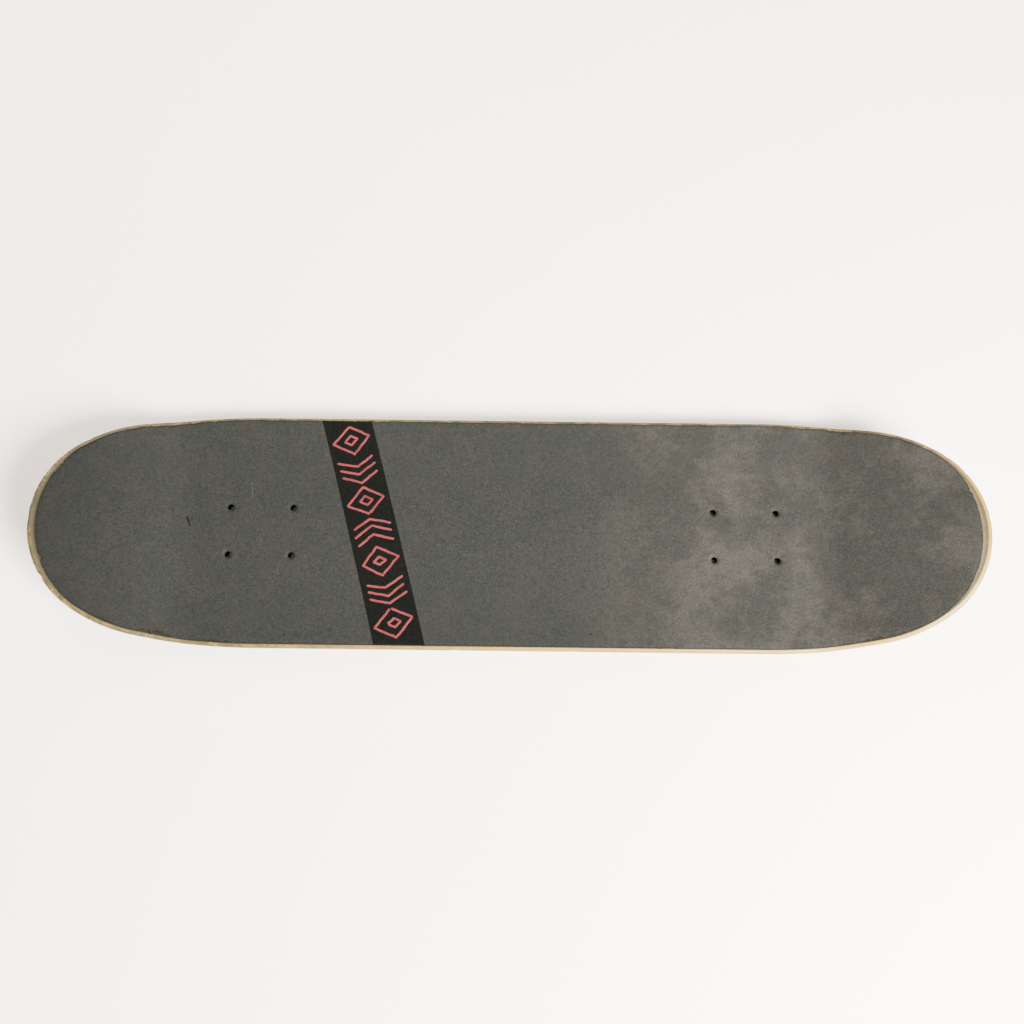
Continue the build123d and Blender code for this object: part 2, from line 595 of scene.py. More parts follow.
def grit() -> bpy.types.NodeTree:
    """Abrasive grains: their height, and a mask of the few that catch the light."""

    def build(tree: Tree, entry: bpy.types.Node) -> list[bpy.types.NodeSocket]:
        """Cells for the grains, under a little noise for the resin between them."""
        scale = tree.math("DIVIDE", 1.0, entry.outputs["Size"])
        cells = tree.add("ShaderNodeTexVoronoi", {"Vector": entry.outputs["Vector"], "Scale": scale})
        resin = tree.noise(entry.outputs["Vector"], tree.times(scale, 0.45), 2.0, 0.6)
        grain = tree.less(1.0, cells.outputs["Distance"])
        height = tree.plus(tree.times(grain, 0.6), tree.times(resin, 0.7))
        rare = tree.span(tree.split(cells.outputs["Color"])[0], 0.93, 0.99)
        speck = tree.times(rare, tree.span(cells.outputs["Distance"], 0.55, 0.15))
        return [height, speck]

    inputs = (("Vector", "Vector", None), ("Size", "Float", 0.8 * MM))
    return shader_group("grit", inputs, ("Height", "Specks"), build)


def wood_fibres() -> bpy.types.NodeTree:
    """Growth bands, fibres and pores of maple that run along the vector's X."""

    def build(tree: Tree, entry: bpy.types.Node) -> list[bpy.types.NodeSocket]:
        """Noise stretched along the grain at three sizes, all swaying a little across it."""
        place = entry.outputs["Vector"]
        sway = tree.noise(tree.vector("MULTIPLY", place, (2.2, 9.0, 9.0)), 1.0, 2.0)
        swayed = tree.vector("ADD", place, tree.join(0.0, tree.times(sway, 0.03), 0.0))
        bands = tree.noise(tree.vector("MULTIPLY", swayed, (5.0, 95.0, 95.0)), 1.0, 3.0, 0.55)
        fibres = tree.noise(tree.vector("MULTIPLY", swayed, (28.0, 900.0, 900.0)), 1.0, 2.0, 0.6)
        pores = tree.noise(tree.vector("MULTIPLY", swayed, (190.0, 2600.0, 2600.0)), 1.0, 1.0, 0.5)
        return [tree.span(bands, 0.3, 0.7), fibres, tree.span(pores, 0.62, 0.74)]

    return shader_group("wood_fibres", (("Vector", "Vector", None),), ("Bands", "Fibres", "Pores"), build)


def scuffs() -> bpy.types.NodeTree:
    """Long, thin scratches that run along the vector's X, in patches."""

    def build(tree: Tree, entry: bpy.types.Node) -> list[bpy.types.NodeSocket]:
        """Stretched noise, kept only where it peaks and where a patch of wear lies."""
        place = entry.outputs["Vector"]
        stretched = tree.vector("MULTIPLY", place, (9.0, 620.0, 300.0))
        lines = tree.span(tree.noise(stretched, 1.0, 2.0, 0.7), 0.6, 0.72)
        worn = tree.noise(place, 16.0, 3.0, 0.6)
        patch = tree.span(worn, entry.outputs["Low"], entry.outputs["High"])
        return [tree.times(lines, patch), patch]

    inputs = (("Vector", "Vector", None), ("Low", "Float", 0.4), ("High", "Float", 0.65))
    return shader_group("scuffs", inputs, ("Lines", "Patches"), build)


class Grain(Enum):
    """Which way a veneer's grain runs, as the turn that brings it onto X."""

    ALONG = 0.0
    ACROSS = math.pi / 2


Colour = tuple[float, float, float, float]
Span = tuple[float, float]


def shade(red: int, green: int, blue: int) -> Colour:
    """A paint-chart colour, 0 to 255 a channel, as the shader's linear one."""

    def linear(value: float) -> float:
        """One channel, made linear."""
        value /= 255
        return value / 12.92 if value <= 0.04045 else ((value + 0.055) / 1.055) ** 2.4

    return (linear(red), linear(green), linear(blue), 1.0)


class Dressing:
    """A new material, its tree and its Principled shader, ready for a finish to fill."""

    def __init__(self, name: str, **constants: Any) -> None:
        """Make the material.

        Args:
            name: the material's name.
            constants: values for the shader's own sockets, with underscores for spaces.
        """
        self.material = bpy.data.materials.new(name)
        self.material.use_nodes = True
        self.tree = Tree(self.material.node_tree)
        self.shader = self.material.node_tree.nodes.get("Principled BSDF")
        self.place = self.tree.add("ShaderNodeTexCoord").outputs["Object"]
        for key, value in constants.items():
            self.shader.inputs[key.replace("_", " ")].default_value = value

    def attribute(self, name: str) -> bpy.types.NodeSocket:
        """A value kept on the mesh's points."""
        return self.tree.add("ShaderNodeAttribute", attribute_name=name).outputs["Fac"]

    def turned(self, turn: float) -> bpy.types.NodeSocket:
        """Object coordinates turned about Z."""
        return self.tree.add("ShaderNodeMapping", {"Vector": self.place, "Rotation": (0, 0, turn)}).outputs[0]

    def feed(self, name: str, socket: bpy.types.NodeSocket) -> None:
        """Link a socket to one of the shader's inputs."""
        self.material.node_tree.links.new(socket, self.shader.inputs[name])

    def bump(self, height: bpy.types.NodeSocket, distance: float, strength: float = 1.0) -> None:
        """Raise the surface by a height, in metres for a height of one."""
        node = self.tree.add("ShaderNodeBump", {"Strength": strength, "Distance": distance, "Height": height})
        self.feed("Normal", node.outputs[0])


@dataclass(frozen=True)
class MapleFinish:
    """Lacquered maple veneer with grain, a soiled edge darkened further by painted shade along the far side and the
    tail, bolt holes painted near black as shade and, where it is ridden, slides and scuffs.

    Each span holds the two places between which a mask goes from nothing to full. A depth is measured in
    from the deck's outline, and is below zero on the walls of the bolt holes. A place along is measured
    from the middle of the board towards the nose, a reach from the middle either way, and a place across
    from the middle line towards the far side.
    """

    name: str
    light: Colour
    dark: Colour
    grain: Grain = Grain.ALONG
    grime_and_shade: Colour = shade(50, 45, 27)
    grime_and_shade_share: float = 0.7
    slid: bool = False
    worn_edge: Colour | None = None
    roughness: float = 0.5
    sheen: float = 0.35
    darkened_sheen: float = 0.03
    relief: float = 0.12 * MM
    worn_depth: Span = (3.8 * MM, 3.0 * MM)
    line_depth: Span = (2.6 * MM, 3.4 * MM)
    line_end_depth: Span = (6.0 * MM, 5.0 * MM)
    grime_and_shade_depth: Span = (14.0 * MM, 8.0 * MM)
    taped_depth: Span = (2.8 * MM, 4.0 * MM)
    taped_tail_depth: Span = (3.6 * MM, 6.0 * MM)
    hole_shade_depth: Span = (-1.0 * MM, -6.0 * MM)
    tailward: Span = (150 * MM, -370 * MM)
    tail_end: Span = (-300 * MM, -350 * MM)
    far_side: Span = (30 * MM, 85 * MM)
    taped_reach: Span = (372 * MM, 350 * MM)
    slid_reach: Span = (170 * MM, 100 * MM)
    scuffed_reach: Span = (260 * MM, 340 * MM)
    truck_reach: float = 207.96 * MM
    footprint: tuple[Span, Span] = ((41.5 * MM, 40.5 * MM), (28.5 * MM, 27.5 * MM))
    footprint_rim: tuple[Span, Span] = ((44.0 * MM, 41.2 * MM), (31.0 * MM, 28.2 * MM))

    def make(self) -> bpy.types.Material:
        """Build the material."""
        look = Dressing(self.name, Coat_Roughness=0.35)
        tree = look.tree
        from_edge = look.attribute("from_edge")
        fibres = tree.group(wood_fibres(), {"Vector": look.turned(self.grain.value)})
        colour = self.wood(tree, fibres)
        if self.worn_edge is not None:
            colour = self.wear_edge(look, from_edge, colour)
        # Soiling near the edge, with painted shade along the far side and towards the tail.
        soiled_and_shaded = self.soiling_and_shade(look, from_edge)
        colour = tree.mix(tree.times(soiled_and_shaded, self.grime_and_shade_share), colour, self.grime_and_shade)
        dull: bpy.types.NodeSocket | float = 0.0
        if self.worn_edge is not None:
            dull = self.taped(look, from_edge)
            colour = tree.mix(dull, colour, shade(25, 21, 15))
        # Painted shade: the walls of the bolt holes are made near black, as the shade down the holes.
        hole_shade = tree.span(from_edge, *self.hole_shade_depth)
        colour = tree.mix(hole_shade, colour, shade(9, 7, 5))
        height = tree.times(fibres.outputs["Fibres"], 0.5)
        gloss = tree.highest(tree.span(soiled_and_shaded, 0.0, 1.0, self.roughness, 0.75), hole_shade)
        coat = tree.times(tree.span(soiled_and_shaded, 0.0, 0.5, 0.12, 0.0), tree.less(1.0, hole_shade))
        if self.slid:
            colour, height, gloss, coat = self.ride(look, (colour, height, gloss, coat))
        look.feed("Base Color", colour)
        look.feed("Roughness", gloss)
        look.feed("Coat Weight", coat)
        look.feed("Specular IOR Level", tree.span(tree.highest(hole_shade, dull), 0.0, 1.0, self.sheen, self.darkened_sheen))
        look.bump(height, self.relief, 0.8)
        return look.material

    def wood(self, tree: Tree, fibres: bpy.types.Node) -> bpy.types.NodeSocket:
        """Clean wood: light and dark bands and fibres, with dark pores."""
        bands = tree.times(fibres.outputs["Bands"], 0.7)
        tone = tree.plus(bands, tree.times(fibres.outputs["Fibres"], 0.3), clamp=True)
        pores = tree.times(fibres.outputs["Pores"], 0.45)
        return tree.mix(pores, tree.mix(tone, self.dark, self.light), self.dark)

    def wear_edge(self, look: Dressing, from_edge: Any, colour: Any) -> bpy.types.NodeSocket:
        """Wear the lacquer off the outermost wood, up to an uneven dark line.

        Args:
            look: the material.
            from_edge: how far inside the outline a point lies.
            colour: the wood so far.

        Returns:
            The wood's new colour.
        """
        tree = look.tree
        colour = tree.mix(tree.span(from_edge, *self.worn_depth), colour, self.worn_edge)
        line = tree.times(tree.span(from_edge, *self.line_depth), tree.span(from_edge, *self.line_end_depth))
        uneven = tree.span(tree.noise(look.place, 160.0, 2.0), 0.3, 0.62, 0.55, 0.95)
        return tree.mix(tree.times(line, uneven), colour, shade(58, 50, 24))

    def soiling_and_shade(self, look: Dressing, from_edge: Any) -> bpy.types.NodeSocket:
        """A mask near the outline: painted shade, even along the far side and the tail, with patchy soiling all
        round.
        """
        tree = look.tree
        x, y, _ = tree.split(look.place)
        # Painted shade: the far side and the tail face away from the light, so they are darkened evenly.
        shaded_sides = tree.highest(tree.times(tree.span(y, *self.far_side), 0.8), tree.span(x, *self.tailward))
        blots = tree.group(blotches(), {"Vector": look.place, "Size": 11 * MM, "Low": 0.36, "High": 0.66})
        patchy = tree.times(blots.outputs[0], tree.span(shaded_sides, 0.0, 1.0, 0.15, 0.45))
        soiled_and_shaded = tree.plus(tree.times(shaded_sides, 0.8), patchy, clamp=True)
        return tree.times(soiled_and_shaded, tree.span(from_edge, *self.grime_and_shade_depth))

    def taped(self, look: Dressing, from_edge: Any) -> bpy.types.NodeSocket:
        """A mask of the dark wood under and beside the tape, which leaves out the nose's tip."""
        tree = look.tree
        x = tree.split(look.place)[0]
        sides = tree.span(tree.math("ABSOLUTE", x), *self.taped_reach, 0.0, 0.9)
        sides = tree.times(tree.span(from_edge, *self.taped_depth), sides)
        tail = tree.times(tree.span(from_edge, *self.taped_tail_depth), tree.span(x, *self.tail_end, 0.0, 0.7))
        return tree.highest(sides, tail)

    def ride(self, look: Dressing, so_far: Sequence[Any]) -> Sequence[Any]:
        """Wear the underside: slides across the middle, scuffed kicks and cleaner truck footprints.

        Args:
            look: the material.
            so_far: colour, height, roughness and coat.

        Returns:
            The same four, worn.
        """
        tree = look.tree
        colour, height, gloss, coat = so_far
        x, y, _ = tree.split(look.place)
        reach, aside = tree.math("ABSOLUTE", x), tree.math("ABSOLUTE", y)
        across = tree.group(scuffs(), {"Vector": look.turned(math.pi / 2), "Low": 0.36, "High": 0.6})
        wander = tree.group(scuffs(), {"Vector": look.turned(math.radians(63)), "Low": 0.5, "High": 0.7})
        where = tree.highest(tree.span(reach, *self.slid_reach), tree.span(reach, *self.scuffed_reach))
        lines = tree.times(across.outputs["Lines"], where)
        lines = tree.highest(lines, tree.times(wander.outputs["Lines"], 0.6))
        patch = tree.times(across.outputs["Patches"], where)
        colour = tree.mix(tree.times(patch, 0.45), colour, shade(226, 203, 160))
        colour = tree.mix(tree.times(lines, 0.6), colour, shade(141, 116, 82))
        from_truck = tree.math("ABSOLUTE", tree.less(reach, self.truck_reach))
        pad, pad_and_rim = (
            tree.times(tree.span(from_truck, *long), tree.span(aside, *wide))
            for long, wide in (self.footprint, self.footprint_rim)
        )
        rim = tree.less(pad_and_rim, pad, clamp=True)
        colour = tree.mix(tree.times(pad, 0.35), colour, shade(232, 210, 168))
        colour = tree.mix(tree.times(rim, 0.5), colour, shade(96, 80, 58))
        height = tree.less(tree.less(height, tree.times(lines, 0.9)), tree.times(pad, 0.8))
        gloss = tree.plus(gloss, tree.times(patch, 0.22), clamp=True)
        return colour, height, gloss, tree.times(coat, tree.less(1.0, patch))


@dataclass(frozen=True)
class TapeFinish:
    """Abrasive tape: grit in resin, mottled by dusting and shoe rubber, darker along its torn and cut edges, with
    painted light and shade.

    Spans are measured as in the wood's finish, but a depth from the edge of the tape. Painted light pales the tape
    from the middle towards the nose; painted shade darkens it towards the tail and, with fraying, along its edges.
    """

    name: str
    cool: Colour
    warm: Colour
    dust_and_light: Colour
    grain_size: float = 0.9 * MM
    mottled: float = 0.7
    dust_and_light_share: float = 0.19
    speckled: float = 0.05
    roughness: float = 0.9
    sheen: float = 0.1
    relief: float = 0.22 * MM
    tail_shade: float = 0.0
    frayed_and_shaded_depth: Span = (1.6 * MM, 0.2 * MM)
    lit_reach: Span = (40 * MM, 200 * MM)
    nose_end: Span = (400 * MM, 330 * MM)
    tail_end: Span = (-400 * MM, -240 * MM)

    def make(self) -> bpy.types.Material:
        """Build the material."""
        look = Dressing(self.name, Specular_IOR_Level=self.sheen)
        tree = look.tree
        x = tree.split(look.place)[0]
        grains = tree.group(grit(), {"Vector": look.place, "Size": self.grain_size})
        coarse = tree.group(grit(), {"Vector": look.place, "Size": self.grain_size * 2.1})
        patches = tree.group(blotches(), {"Vector": look.place, "Size": 20 * MM, "Low": 0.46, "High": 0.62})
        colour = tree.mix(tree.times(patches.outputs[0], self.mottled), self.cool, self.warm)
        # Dusting, and painted light that makes the tape paler from the middle towards the nose.
        colour = tree.mix(self.dust_and_light_mask(look, x), colour, self.dust_and_light)
        # Darker along the outer edge: partly fraying, partly painted shade of the tape's edge.
        frayed = tree.span(look.attribute("from_edge"), *self.frayed_and_shaded_depth)
        colour = tree.mix(tree.times(frayed, 0.55), colour, shade(20, 19, 17))
        tone = tree.plus(0.42, tree.times(grains.outputs["Height"], 0.85))
        # Painted shade: the tape darkens towards the tail, the end away from the light.
        tone = tree.times(tone, tree.span(x, *self.tail_end, 1.0 - self.tail_shade, 1.0))
        tone = tree.times(tone, tree.plus(0.6, tree.times(coarse.outputs["Height"], 0.62)))
        shades = tree.add("ShaderNodeCombineColor", {0: tone, 1: tone, 2: tone}).outputs[0]
        colour = tree.mix(1.0, colour, shades, "MULTIPLY")
        # Pale specks: painted glints of the few grains that catch the light.
        specks = tree.times(grains.outputs["Specks"], self.speckled)
        look.feed("Base Color", tree.mix(specks, colour, shade(150, 146, 134)))
        look.feed("Roughness", tree.span(specks, 0.0, 1.0, self.roughness, 0.45))
        height = tree.plus(grains.outputs["Height"], tree.times(coarse.outputs["Height"], 0.6))
        look.bump(height, self.relief)
        return look.material

    def dust_and_light_mask(self, look: Dressing, x: bpy.types.NodeSocket) -> bpy.types.NodeSocket:
        """A mask of dusting in wide clouds and of painted light: most from the middle to the nose, less at its tip.
        """
        tree = look.tree
        clouds = tree.group(blotches(), {"Vector": look.place, "Size": 60 * MM, "Low": 0.4, "High": 0.66})
        much = tree.times(tree.span(x, *self.lit_reach, 0.05, 1.75), tree.span(x, *self.nose_end, 0.7, 1.0))
        dust_and_light = tree.times(tree.plus(0.25, clouds.outputs[0]), much)
        return tree.math("MULTIPLY", dust_and_light, self.dust_and_light_share, clamp=True)


@dataclass(frozen=True)
class InkFinish:
    """Flat paint on grit, thin in patches and darker between the grains."""

    name: str
    full: Colour
    thin: Colour
    grain_size: float = 0.8 * MM
    roughness: float = 0.75
    sheen: float = 0.3
    relief: float = 0.12 * MM

    def make(self) -> bpy.types.Material:
        """Build the material."""
        look = Dressing(self.name, Specular_IOR_Level=self.sheen)
        tree = look.tree
        grains = tree.group(grit(), {"Vector": look.place, "Size": self.grain_size})
        patches = tree.group(blotches(), {"Vector": look.place, "Size": 8 * MM, "Low": 0.4, "High": 0.7})
        colour = tree.mix(tree.times(patches.outputs[0], 0.55), self.full, self.thin)
        dark = tree.span(grains.outputs["Height"], 0.62, 0.4)
        look.feed("Base Color", tree.mix(tree.times(dark, 0.35), colour, self.thin))
        look.feed("Roughness", tree.span(patches.outputs[0], 0.0, 1.0, self.roughness, 0.92))
        look.bump(grains.outputs["Height"], self.relief)
        return look.material


@dataclass(frozen=True)
class PlainFinish:
    """An even finish with a little variation, for small loose bits and for the floor."""

    name: str
    first: Colour
    second: Colour
    patch: float = 50 * MM
    roughness: float = 0.8
    sheen: float = 0.3

    def make(self) -> bpy.types.Material:
        """Build the material."""
        look = Dressing(self.name, Specular_IOR_Level=self.sheen)
        tree = look.tree
        mask = tree.group(blotches(), {"Vector": look.place, "Size": self.patch, "Low": 0.35, "High": 0.7}).outputs[0]
        look.feed("Base Color", tree.mix(mask, self.first, self.second))
        look.feed("Roughness", tree.span(mask, 0.0, 1.0, self.roughness, self.roughness * 0.85))
        return look.material

    def shared(self) -> bpy.types.Material:
        """The material, built only the first time that it is asked for."""
        return bpy.data.materials.get(self.name) or self.make()


# --- Shapes made by Geometry Nodes ----------------------------------------------------------------


class NodeShape:
    """A Geometry Nodes tree that turns one mesh into a finished one."""

    def __init__(self, name: str, inputs: Sequence[tuple[str, str]]) -> None:
        """Start the tree.

        Args:
            name: the tree's name.
            inputs: the name and kind of each input after the geometry.
        """
        self.group = bpy.data.node_groups.new(name, "GeometryNodeTree")
        self.group.interface.new_socket("Geometry", in_out="INPUT", socket_type="NodeSocketGeometry")
        self.identifiers: dict[str, str] = {}
        for label, kind in inputs:
            socket = self.group.interface.new_socket(label, in_out="INPUT", socket_type=f"NodeSocket{kind}")
            self.identifiers[label] = socket.identifier
        self.group.interface.new_socket("Geometry", in_out="OUTPUT", socket_type="NodeSocketGeometry")
        self.tree = Tree(self.group)
        self.entry = self.tree.add("NodeGroupInput")

    def close(self, geometry: bpy.types.NodeSocket, smooth: bool) -> None:
        """End the tree: shading, realised instances and the material."""
        shaded = self.tree.add("GeometryNodeSetShadeSmooth", {0: geometry, 2: smooth}).outputs[0]
        real = self.tree.add("GeometryNodeRealizeInstances", {0: shaded}).outputs[0]
        dressed = self.tree.add("GeometryNodeSetMaterial", {0: real, 2: self.entry.outputs["Material"]}).outputs[0]
        self.group.links.new(dressed, self.tree.add("NodeGroupOutput").inputs[0])

    def apply(self, name: str, source: bpy.types.Mesh, values: dict[str, Any]) -> bpy.types.Object:
        """Run the tree on a mesh.

        Args:
            name: the finished object's name.
            source: the mesh to start from, which is used up.
            values: a value for each named input.

        Returns:
            A plain mesh object at the origin.
        """
        seed = bpy.data.objects.new(name, source)
        bpy.context.scene.collection.objects.link(seed)
        modifier = seed.modifiers.new(self.group.name, "NODES")
        modifier.node_group = self.group
        for label, value in values.items():
            modifier[self.identifiers[label]] = value
        bpy.context.view_layer.update()
        evaluated = seed.evaluated_get(bpy.context.evaluated_depsgraph_get())
        finished = bpy.data.meshes.new_from_object(evaluated)
        seed.modifiers.clear()
        seed.data = finished
        finished.name = name
        bpy.data.meshes.remove(source)
        return seed


def line_mesh(name: str, lines: Sequence[Sequence[Sequence[float]]]) -> bpy.types.Mesh:
    """A mesh of edges only, one run of points for each line."""
    points: list[tuple[float, ...]] = []
    edges: list[tuple[int, int]] = []
    for line in lines:
        start = len(points)
        points += [tuple(float(value) for value in point) for point in line]
        edges += [(start + i, start + i + 1) for i in range(len(line) - 1)]
    mesh = bpy.data.meshes.new(name)
    mesh.from_pydata(points, edges, [])
    return mesh


def painted_lines() -> NodeShape:
    """Strokes of paint laid on a surface below them: round-ended, a little unsteady and slightly raised."""
    inputs = (
        ("Surface", "Object"),
        ("Width", "Float"),
        ("Rise", "Float"),
        ("Wobble", "Float"),
        ("Seed", "Float"),
        ("Material", "Material"),
    )
    shape = NodeShape("painted_lines", inputs)
    tree, entry = shape.tree, shape.entry
    curve = tree.add("GeometryNodeMeshToCurve", {0: entry.outputs["Geometry"]}).outputs[0]
    curve = tree.add("GeometryNodeResampleCurve", {0: curve, "Length": 0.6 * MM}, mode="LENGTH").outputs[0]
    place = tree.add("GeometryNodeInputPosition").outputs[0]
    unsteady = tree.add(
        "ShaderNodeTexNoise",
        {"Vector": place, "W": entry.outputs["Seed"], "Scale": 130.0, "Detail": 1.0},
        noise_dimensions="4D",
    ).outputs[1]
    sway = tree.scaled(tree.vector("SUBTRACT", unsteady, (0.5, 0.5, 0.5)), entry.outputs["Wobble"])
    sway = tree.vector("MULTIPLY", sway, (1.0, 1.0, 0.0))
    curve = tree.add("GeometryNodeSetPosition", {0: curve, 3: sway}).outputs[0]
    half = tree.times(entry.outputs["Width"], 0.5)
    done = tree.add("GeometryNodeSplineParameter").outputs["Length"]
    whole = tree.add("GeometryNodeSplineLength").outputs["Length"]
    to_end = tree.math("MINIMUM", done, tree.less(whole, done))
    short = tree.less(1.0, tree.math("DIVIDE", to_end, half, clamp=True), clamp=True)
    round_end = tree.math("SQRT", tree.less(1.0, tree.times(short, short), clamp=True))
    pressure = tree.noise(place, 90.0, 1.0)
    swell = tree.plus(0.8, tree.times(pressure, 0.4))
    swell = tree.times(tree.highest(round_end, 0.12), swell)
    ring = tree.add("GeometryNodeCurvePrimitiveCircle", {"Resolution": 10, "Radius": half}).outputs[0]
    tube = tree.add("GeometryNodeCurveToMesh", {0: curve, 1: ring, "Scale": swell, "Fill Caps": True}).outputs[0]
    x, y, z = tree.split(place)
    surface = tree.add("GeometryNodeObjectInfo", {"Object": entry.outputs["Surface"]}).outputs["Geometry"]
    ray = tree.add(
        "GeometryNodeRaycast",
        {
            "Target Geometry": surface,
            "Source Position": tree.join(x, y, ABOVE_ALL),
            "Ray Direction": (0, 0, -1),
            "Ray Length": 1.0,
        },
    )
    hit = tree.split(ray.outputs["Hit Position"])[2]
    thin = tree.math("DIVIDE", entry.outputs["Rise"], half)
    laid = tree.join(x, y, tree.plus(hit, tree.times(z, thin)))
    tube = tree.add("GeometryNodeSetPosition", {0: tube, 1: ray.outputs["Is Hit"], 2: laid}).outputs[0]
    shape.close(tube, True)
    return shape


def loose_bits() -> NodeShape:
    """Small torn bits along lines: thin points that stick out in clusters at random angles."""
    inputs = (
        ("Spacing", "Float"),
        ("Length", "Float"),
        ("Thickness", "Float"),
        ("Share", "Float"),
        ("Seed", "Int"),
        ("Material", "Material"),
    )
    shape = NodeShape("loose_bits", inputs)
    tree, entry = shape.tree, shape.entry
    curve = tree.add("GeometryNodeMeshToCurve", {0: entry.outputs["Geometry"]}).outputs[0]
    spaced = {0: curve, "Length": entry.outputs["Spacing"]}
    points = tree.add("GeometryNodeCurveToPoints", spaced, mode="LENGTH").outputs[0]
    seed = entry.outputs["Seed"]
    chance = tree.add("FunctionNodeRandomValue", {"Seed": seed}, data_type="FLOAT").outputs[1]
    place = tree.add("GeometryNodeInputPosition").outputs[0]
    cluster = tree.span(tree.noise(place, 55.0, 2.0), 0.45, 0.62)
    kept = tree.add(
        "FunctionNodeCompare",
        {0: chance, 1: tree.times(cluster, entry.outputs["Share"])},
        data_type="FLOAT",
        operation="LESS_THAN",
    ).outputs[0]
    cone = tree.add(
        "GeometryNodeMeshCone",
        {
            "Vertices": 5,
            "Radius Top": 0.02 * MM,
            "Radius Bottom": entry.outputs["Thickness"],
            "Depth": entry.outputs["Length"],
        },
    ).outputs[0]
    spin = tree.random((1.1, 0.0, 0.0), (1.75, 0.3, FULL_TURN), seed)
    size = tree.random((0.4, 0.4, 0.35), (1.3, 0.9, 1.2), tree.plus(seed, 3.0))
    bits = tree.add(
        "GeometryNodeInstanceOnPoints",
        {0: points, 1: kept, 2: cone, "Rotation": spin, "Scale": size},
    ).outputs[0]
    shape.close(bits, False)
    return shape


def pale_grains() -> NodeShape:
    """Single grains of grit, worn pale, scattered over the upper faces of a tape."""
    inputs = (("Density", "Float"), ("Size", "Float"), ("Seed", "Int"), ("Material", "Material"))
    shape = NodeShape("pale_grains", inputs)
    tree, entry = shape.tree, shape.entry
    up = tree.split(tree.add("GeometryNodeInputNormal").outputs[0])[2]
    upper = tree.add("FunctionNodeCompare", {0: up, 1: 0.6}, data_type="FLOAT", operation="GREATER_THAN").outputs[0]
    place = tree.add("GeometryNodeInputPosition").outputs[0]
    clouds = tree.span(tree.noise(place, 25.0, 2.0), 0.35, 0.65, 0.35, 1.0)
    uneven = tree.times(entry.outputs["Density"], clouds)
    spread = tree.add(
        "GeometryNodeDistributePointsOnFaces",
        {"Mesh": entry.outputs["Geometry"], "Selection": upper, "Density": uneven, "Seed": entry.outputs["Seed"]},
        distribute_method="RANDOM",
    )
    grain = tree.add("GeometryNodeMeshIcoSphere", {"Radius": entry.outputs["Size"], "Subdivisions": 1}).outputs[0]
    turn = tree.random((0, 0, 0), (FULL_TURN, FULL_TURN, FULL_TURN))
    size = tree.random((0.5, 0.5, 0.3), (1.4, 1.2, 0.7), 5)
    grains = tree.add(
        "GeometryNodeInstanceOnPoints",
        {0: spread.outputs["Points"], 2: grain, "Rotation": turn, "Scale": size},
    ).outputs[0]
    shape.close(grains, False)
    return shape


# --- The veneers ----------------------------------------------------------------------------------


class Knock(NamedTuple):
    """A chip or dent in the deck's edge: where it is, how wide and high, and how deep."""

    along: float
    across: float
    height: float
    width: float
    depth: float


@dataclass(frozen=True)
class Wear:
    """How riding has changed the wood: dents round the edge, a ground-down tail and grooves below."""

    knocks: tuple[Knock, ...] = (
        Knock(-0.3979, 0.0161, 0.0088, 0.0050, 0.0013),
        Knock(-0.3839, -0.0488, 0.0080, 0.0060, 0.0014),
        Knock(-0.3723, -0.0620, 0.0086, 0.0050, 0.0013),
        Knock(-0.3629, -0.0696, 0.0075, 0.0065, 0.0016),
        Knock(-0.0375, -0.1000, 0.0060, 0.0060, 0.0013),
        Knock(-0.3492, -0.0779, 0.0090, 0.0040, 0.0009),
        Knock(0.3996, 0.0415, 0.0030, 0.0070, 0.0014),
        Knock(0.4068, -0.0245, 0.0020, 0.0090, 0.0016),
        Knock(-0.3995, 0.0021, 0.0020, 0.0120, 0.0010),
        Knock(-0.3880, -0.0425, 0.0022, 0.0080, 0.0015),
        Knock(0.1210, 0.1000, 0.0035, 0.0080, 0.0010),
        Knock(0.0592, -0.1000, 0.0030, 0.0090, 0.0011),
    )
    ripple: float = 0.07 * MM
    dent: float = 0.7 * MM
    dented_from: float = 240 * MM
    dented_over: float = 140 * MM
    groove: float = 0.22 * MM
    slide_reach: float = 150 * MM
    ground: float = 0.8 * MM
    ground_reach: float = 16 * MM
    ground_from: float = 345 * MM
    ground_over: float = 30 * MM

    def at_edge(self, flat: np.ndarray, height: float) -> np.ndarray:
        """How far each point of the outline is pushed in at a height.

        Args:
            flat: (n, 2) points of the outline on the flat pattern.
            height: the height that they lie at.

        Returns:
            Distances, none below zero.
        """
        solid = np.column_stack([flat, np.full(len(flat), height)])
        push = self.ripple * (1 + rough(solid, 60.0, 1.0))
        small = rough(solid, 210.0, 2.0)
        ends = np.clip((np.abs(flat[:, 0]) - self.dented_from) / self.dented_over, 0.15, 1.0)
        push += self.dent * ends * np.clip(small - 0.32, 0, 1) * 2.2
        for knock in self.knocks:
            level = (flat - np.array([knock.along, knock.across])) / knock.width
            upright = (height - knock.height) / (0.55 * knock.width)
            near = np.clip(1 - (level**2).sum(1) - upright**2, 0, 1)
            push += knock.depth * np.sqrt(near) * (0.8 + 0.35 * rough(solid, 520.0, 3.0))
        return np.maximum(push, 0)

    def below(self, board: PressedBoard, flat: np.ndarray) -> np.ndarray:
        """How far the underside is worn up, for points of the flat pattern."""
        slide = np.clip(1 - (np.abs(flat[:, 0]) / self.slide_reach) ** 4, 0, 1)
        rows = rough(np.column_stack([flat[:, 0], flat[:, 1] * 0.04]), 130.0, 4.0)
        lift = self.groove * slide * np.clip(rows - 0.1, 0, 1) * 1.6
        tip = -(board.flat_length / 2 + board.kick_radius * board.tail.angle + board.tail.length)
        reach = np.hypot(flat[:, 0] - (tip + board.tip_radius), flat[:, 1])
        near_tip = np.clip((reach - board.tip_radius + self.ground_reach) / self.ground_reach, 0, 1)
        tail_only = np.clip((-flat[:, 0] - self.ground_from) / self.ground_over, 0, 1)
        return lift + self.ground * tail_only * near_tip**2 * (0.8 + 0.3 * rough(flat, 90.0, 5.0))


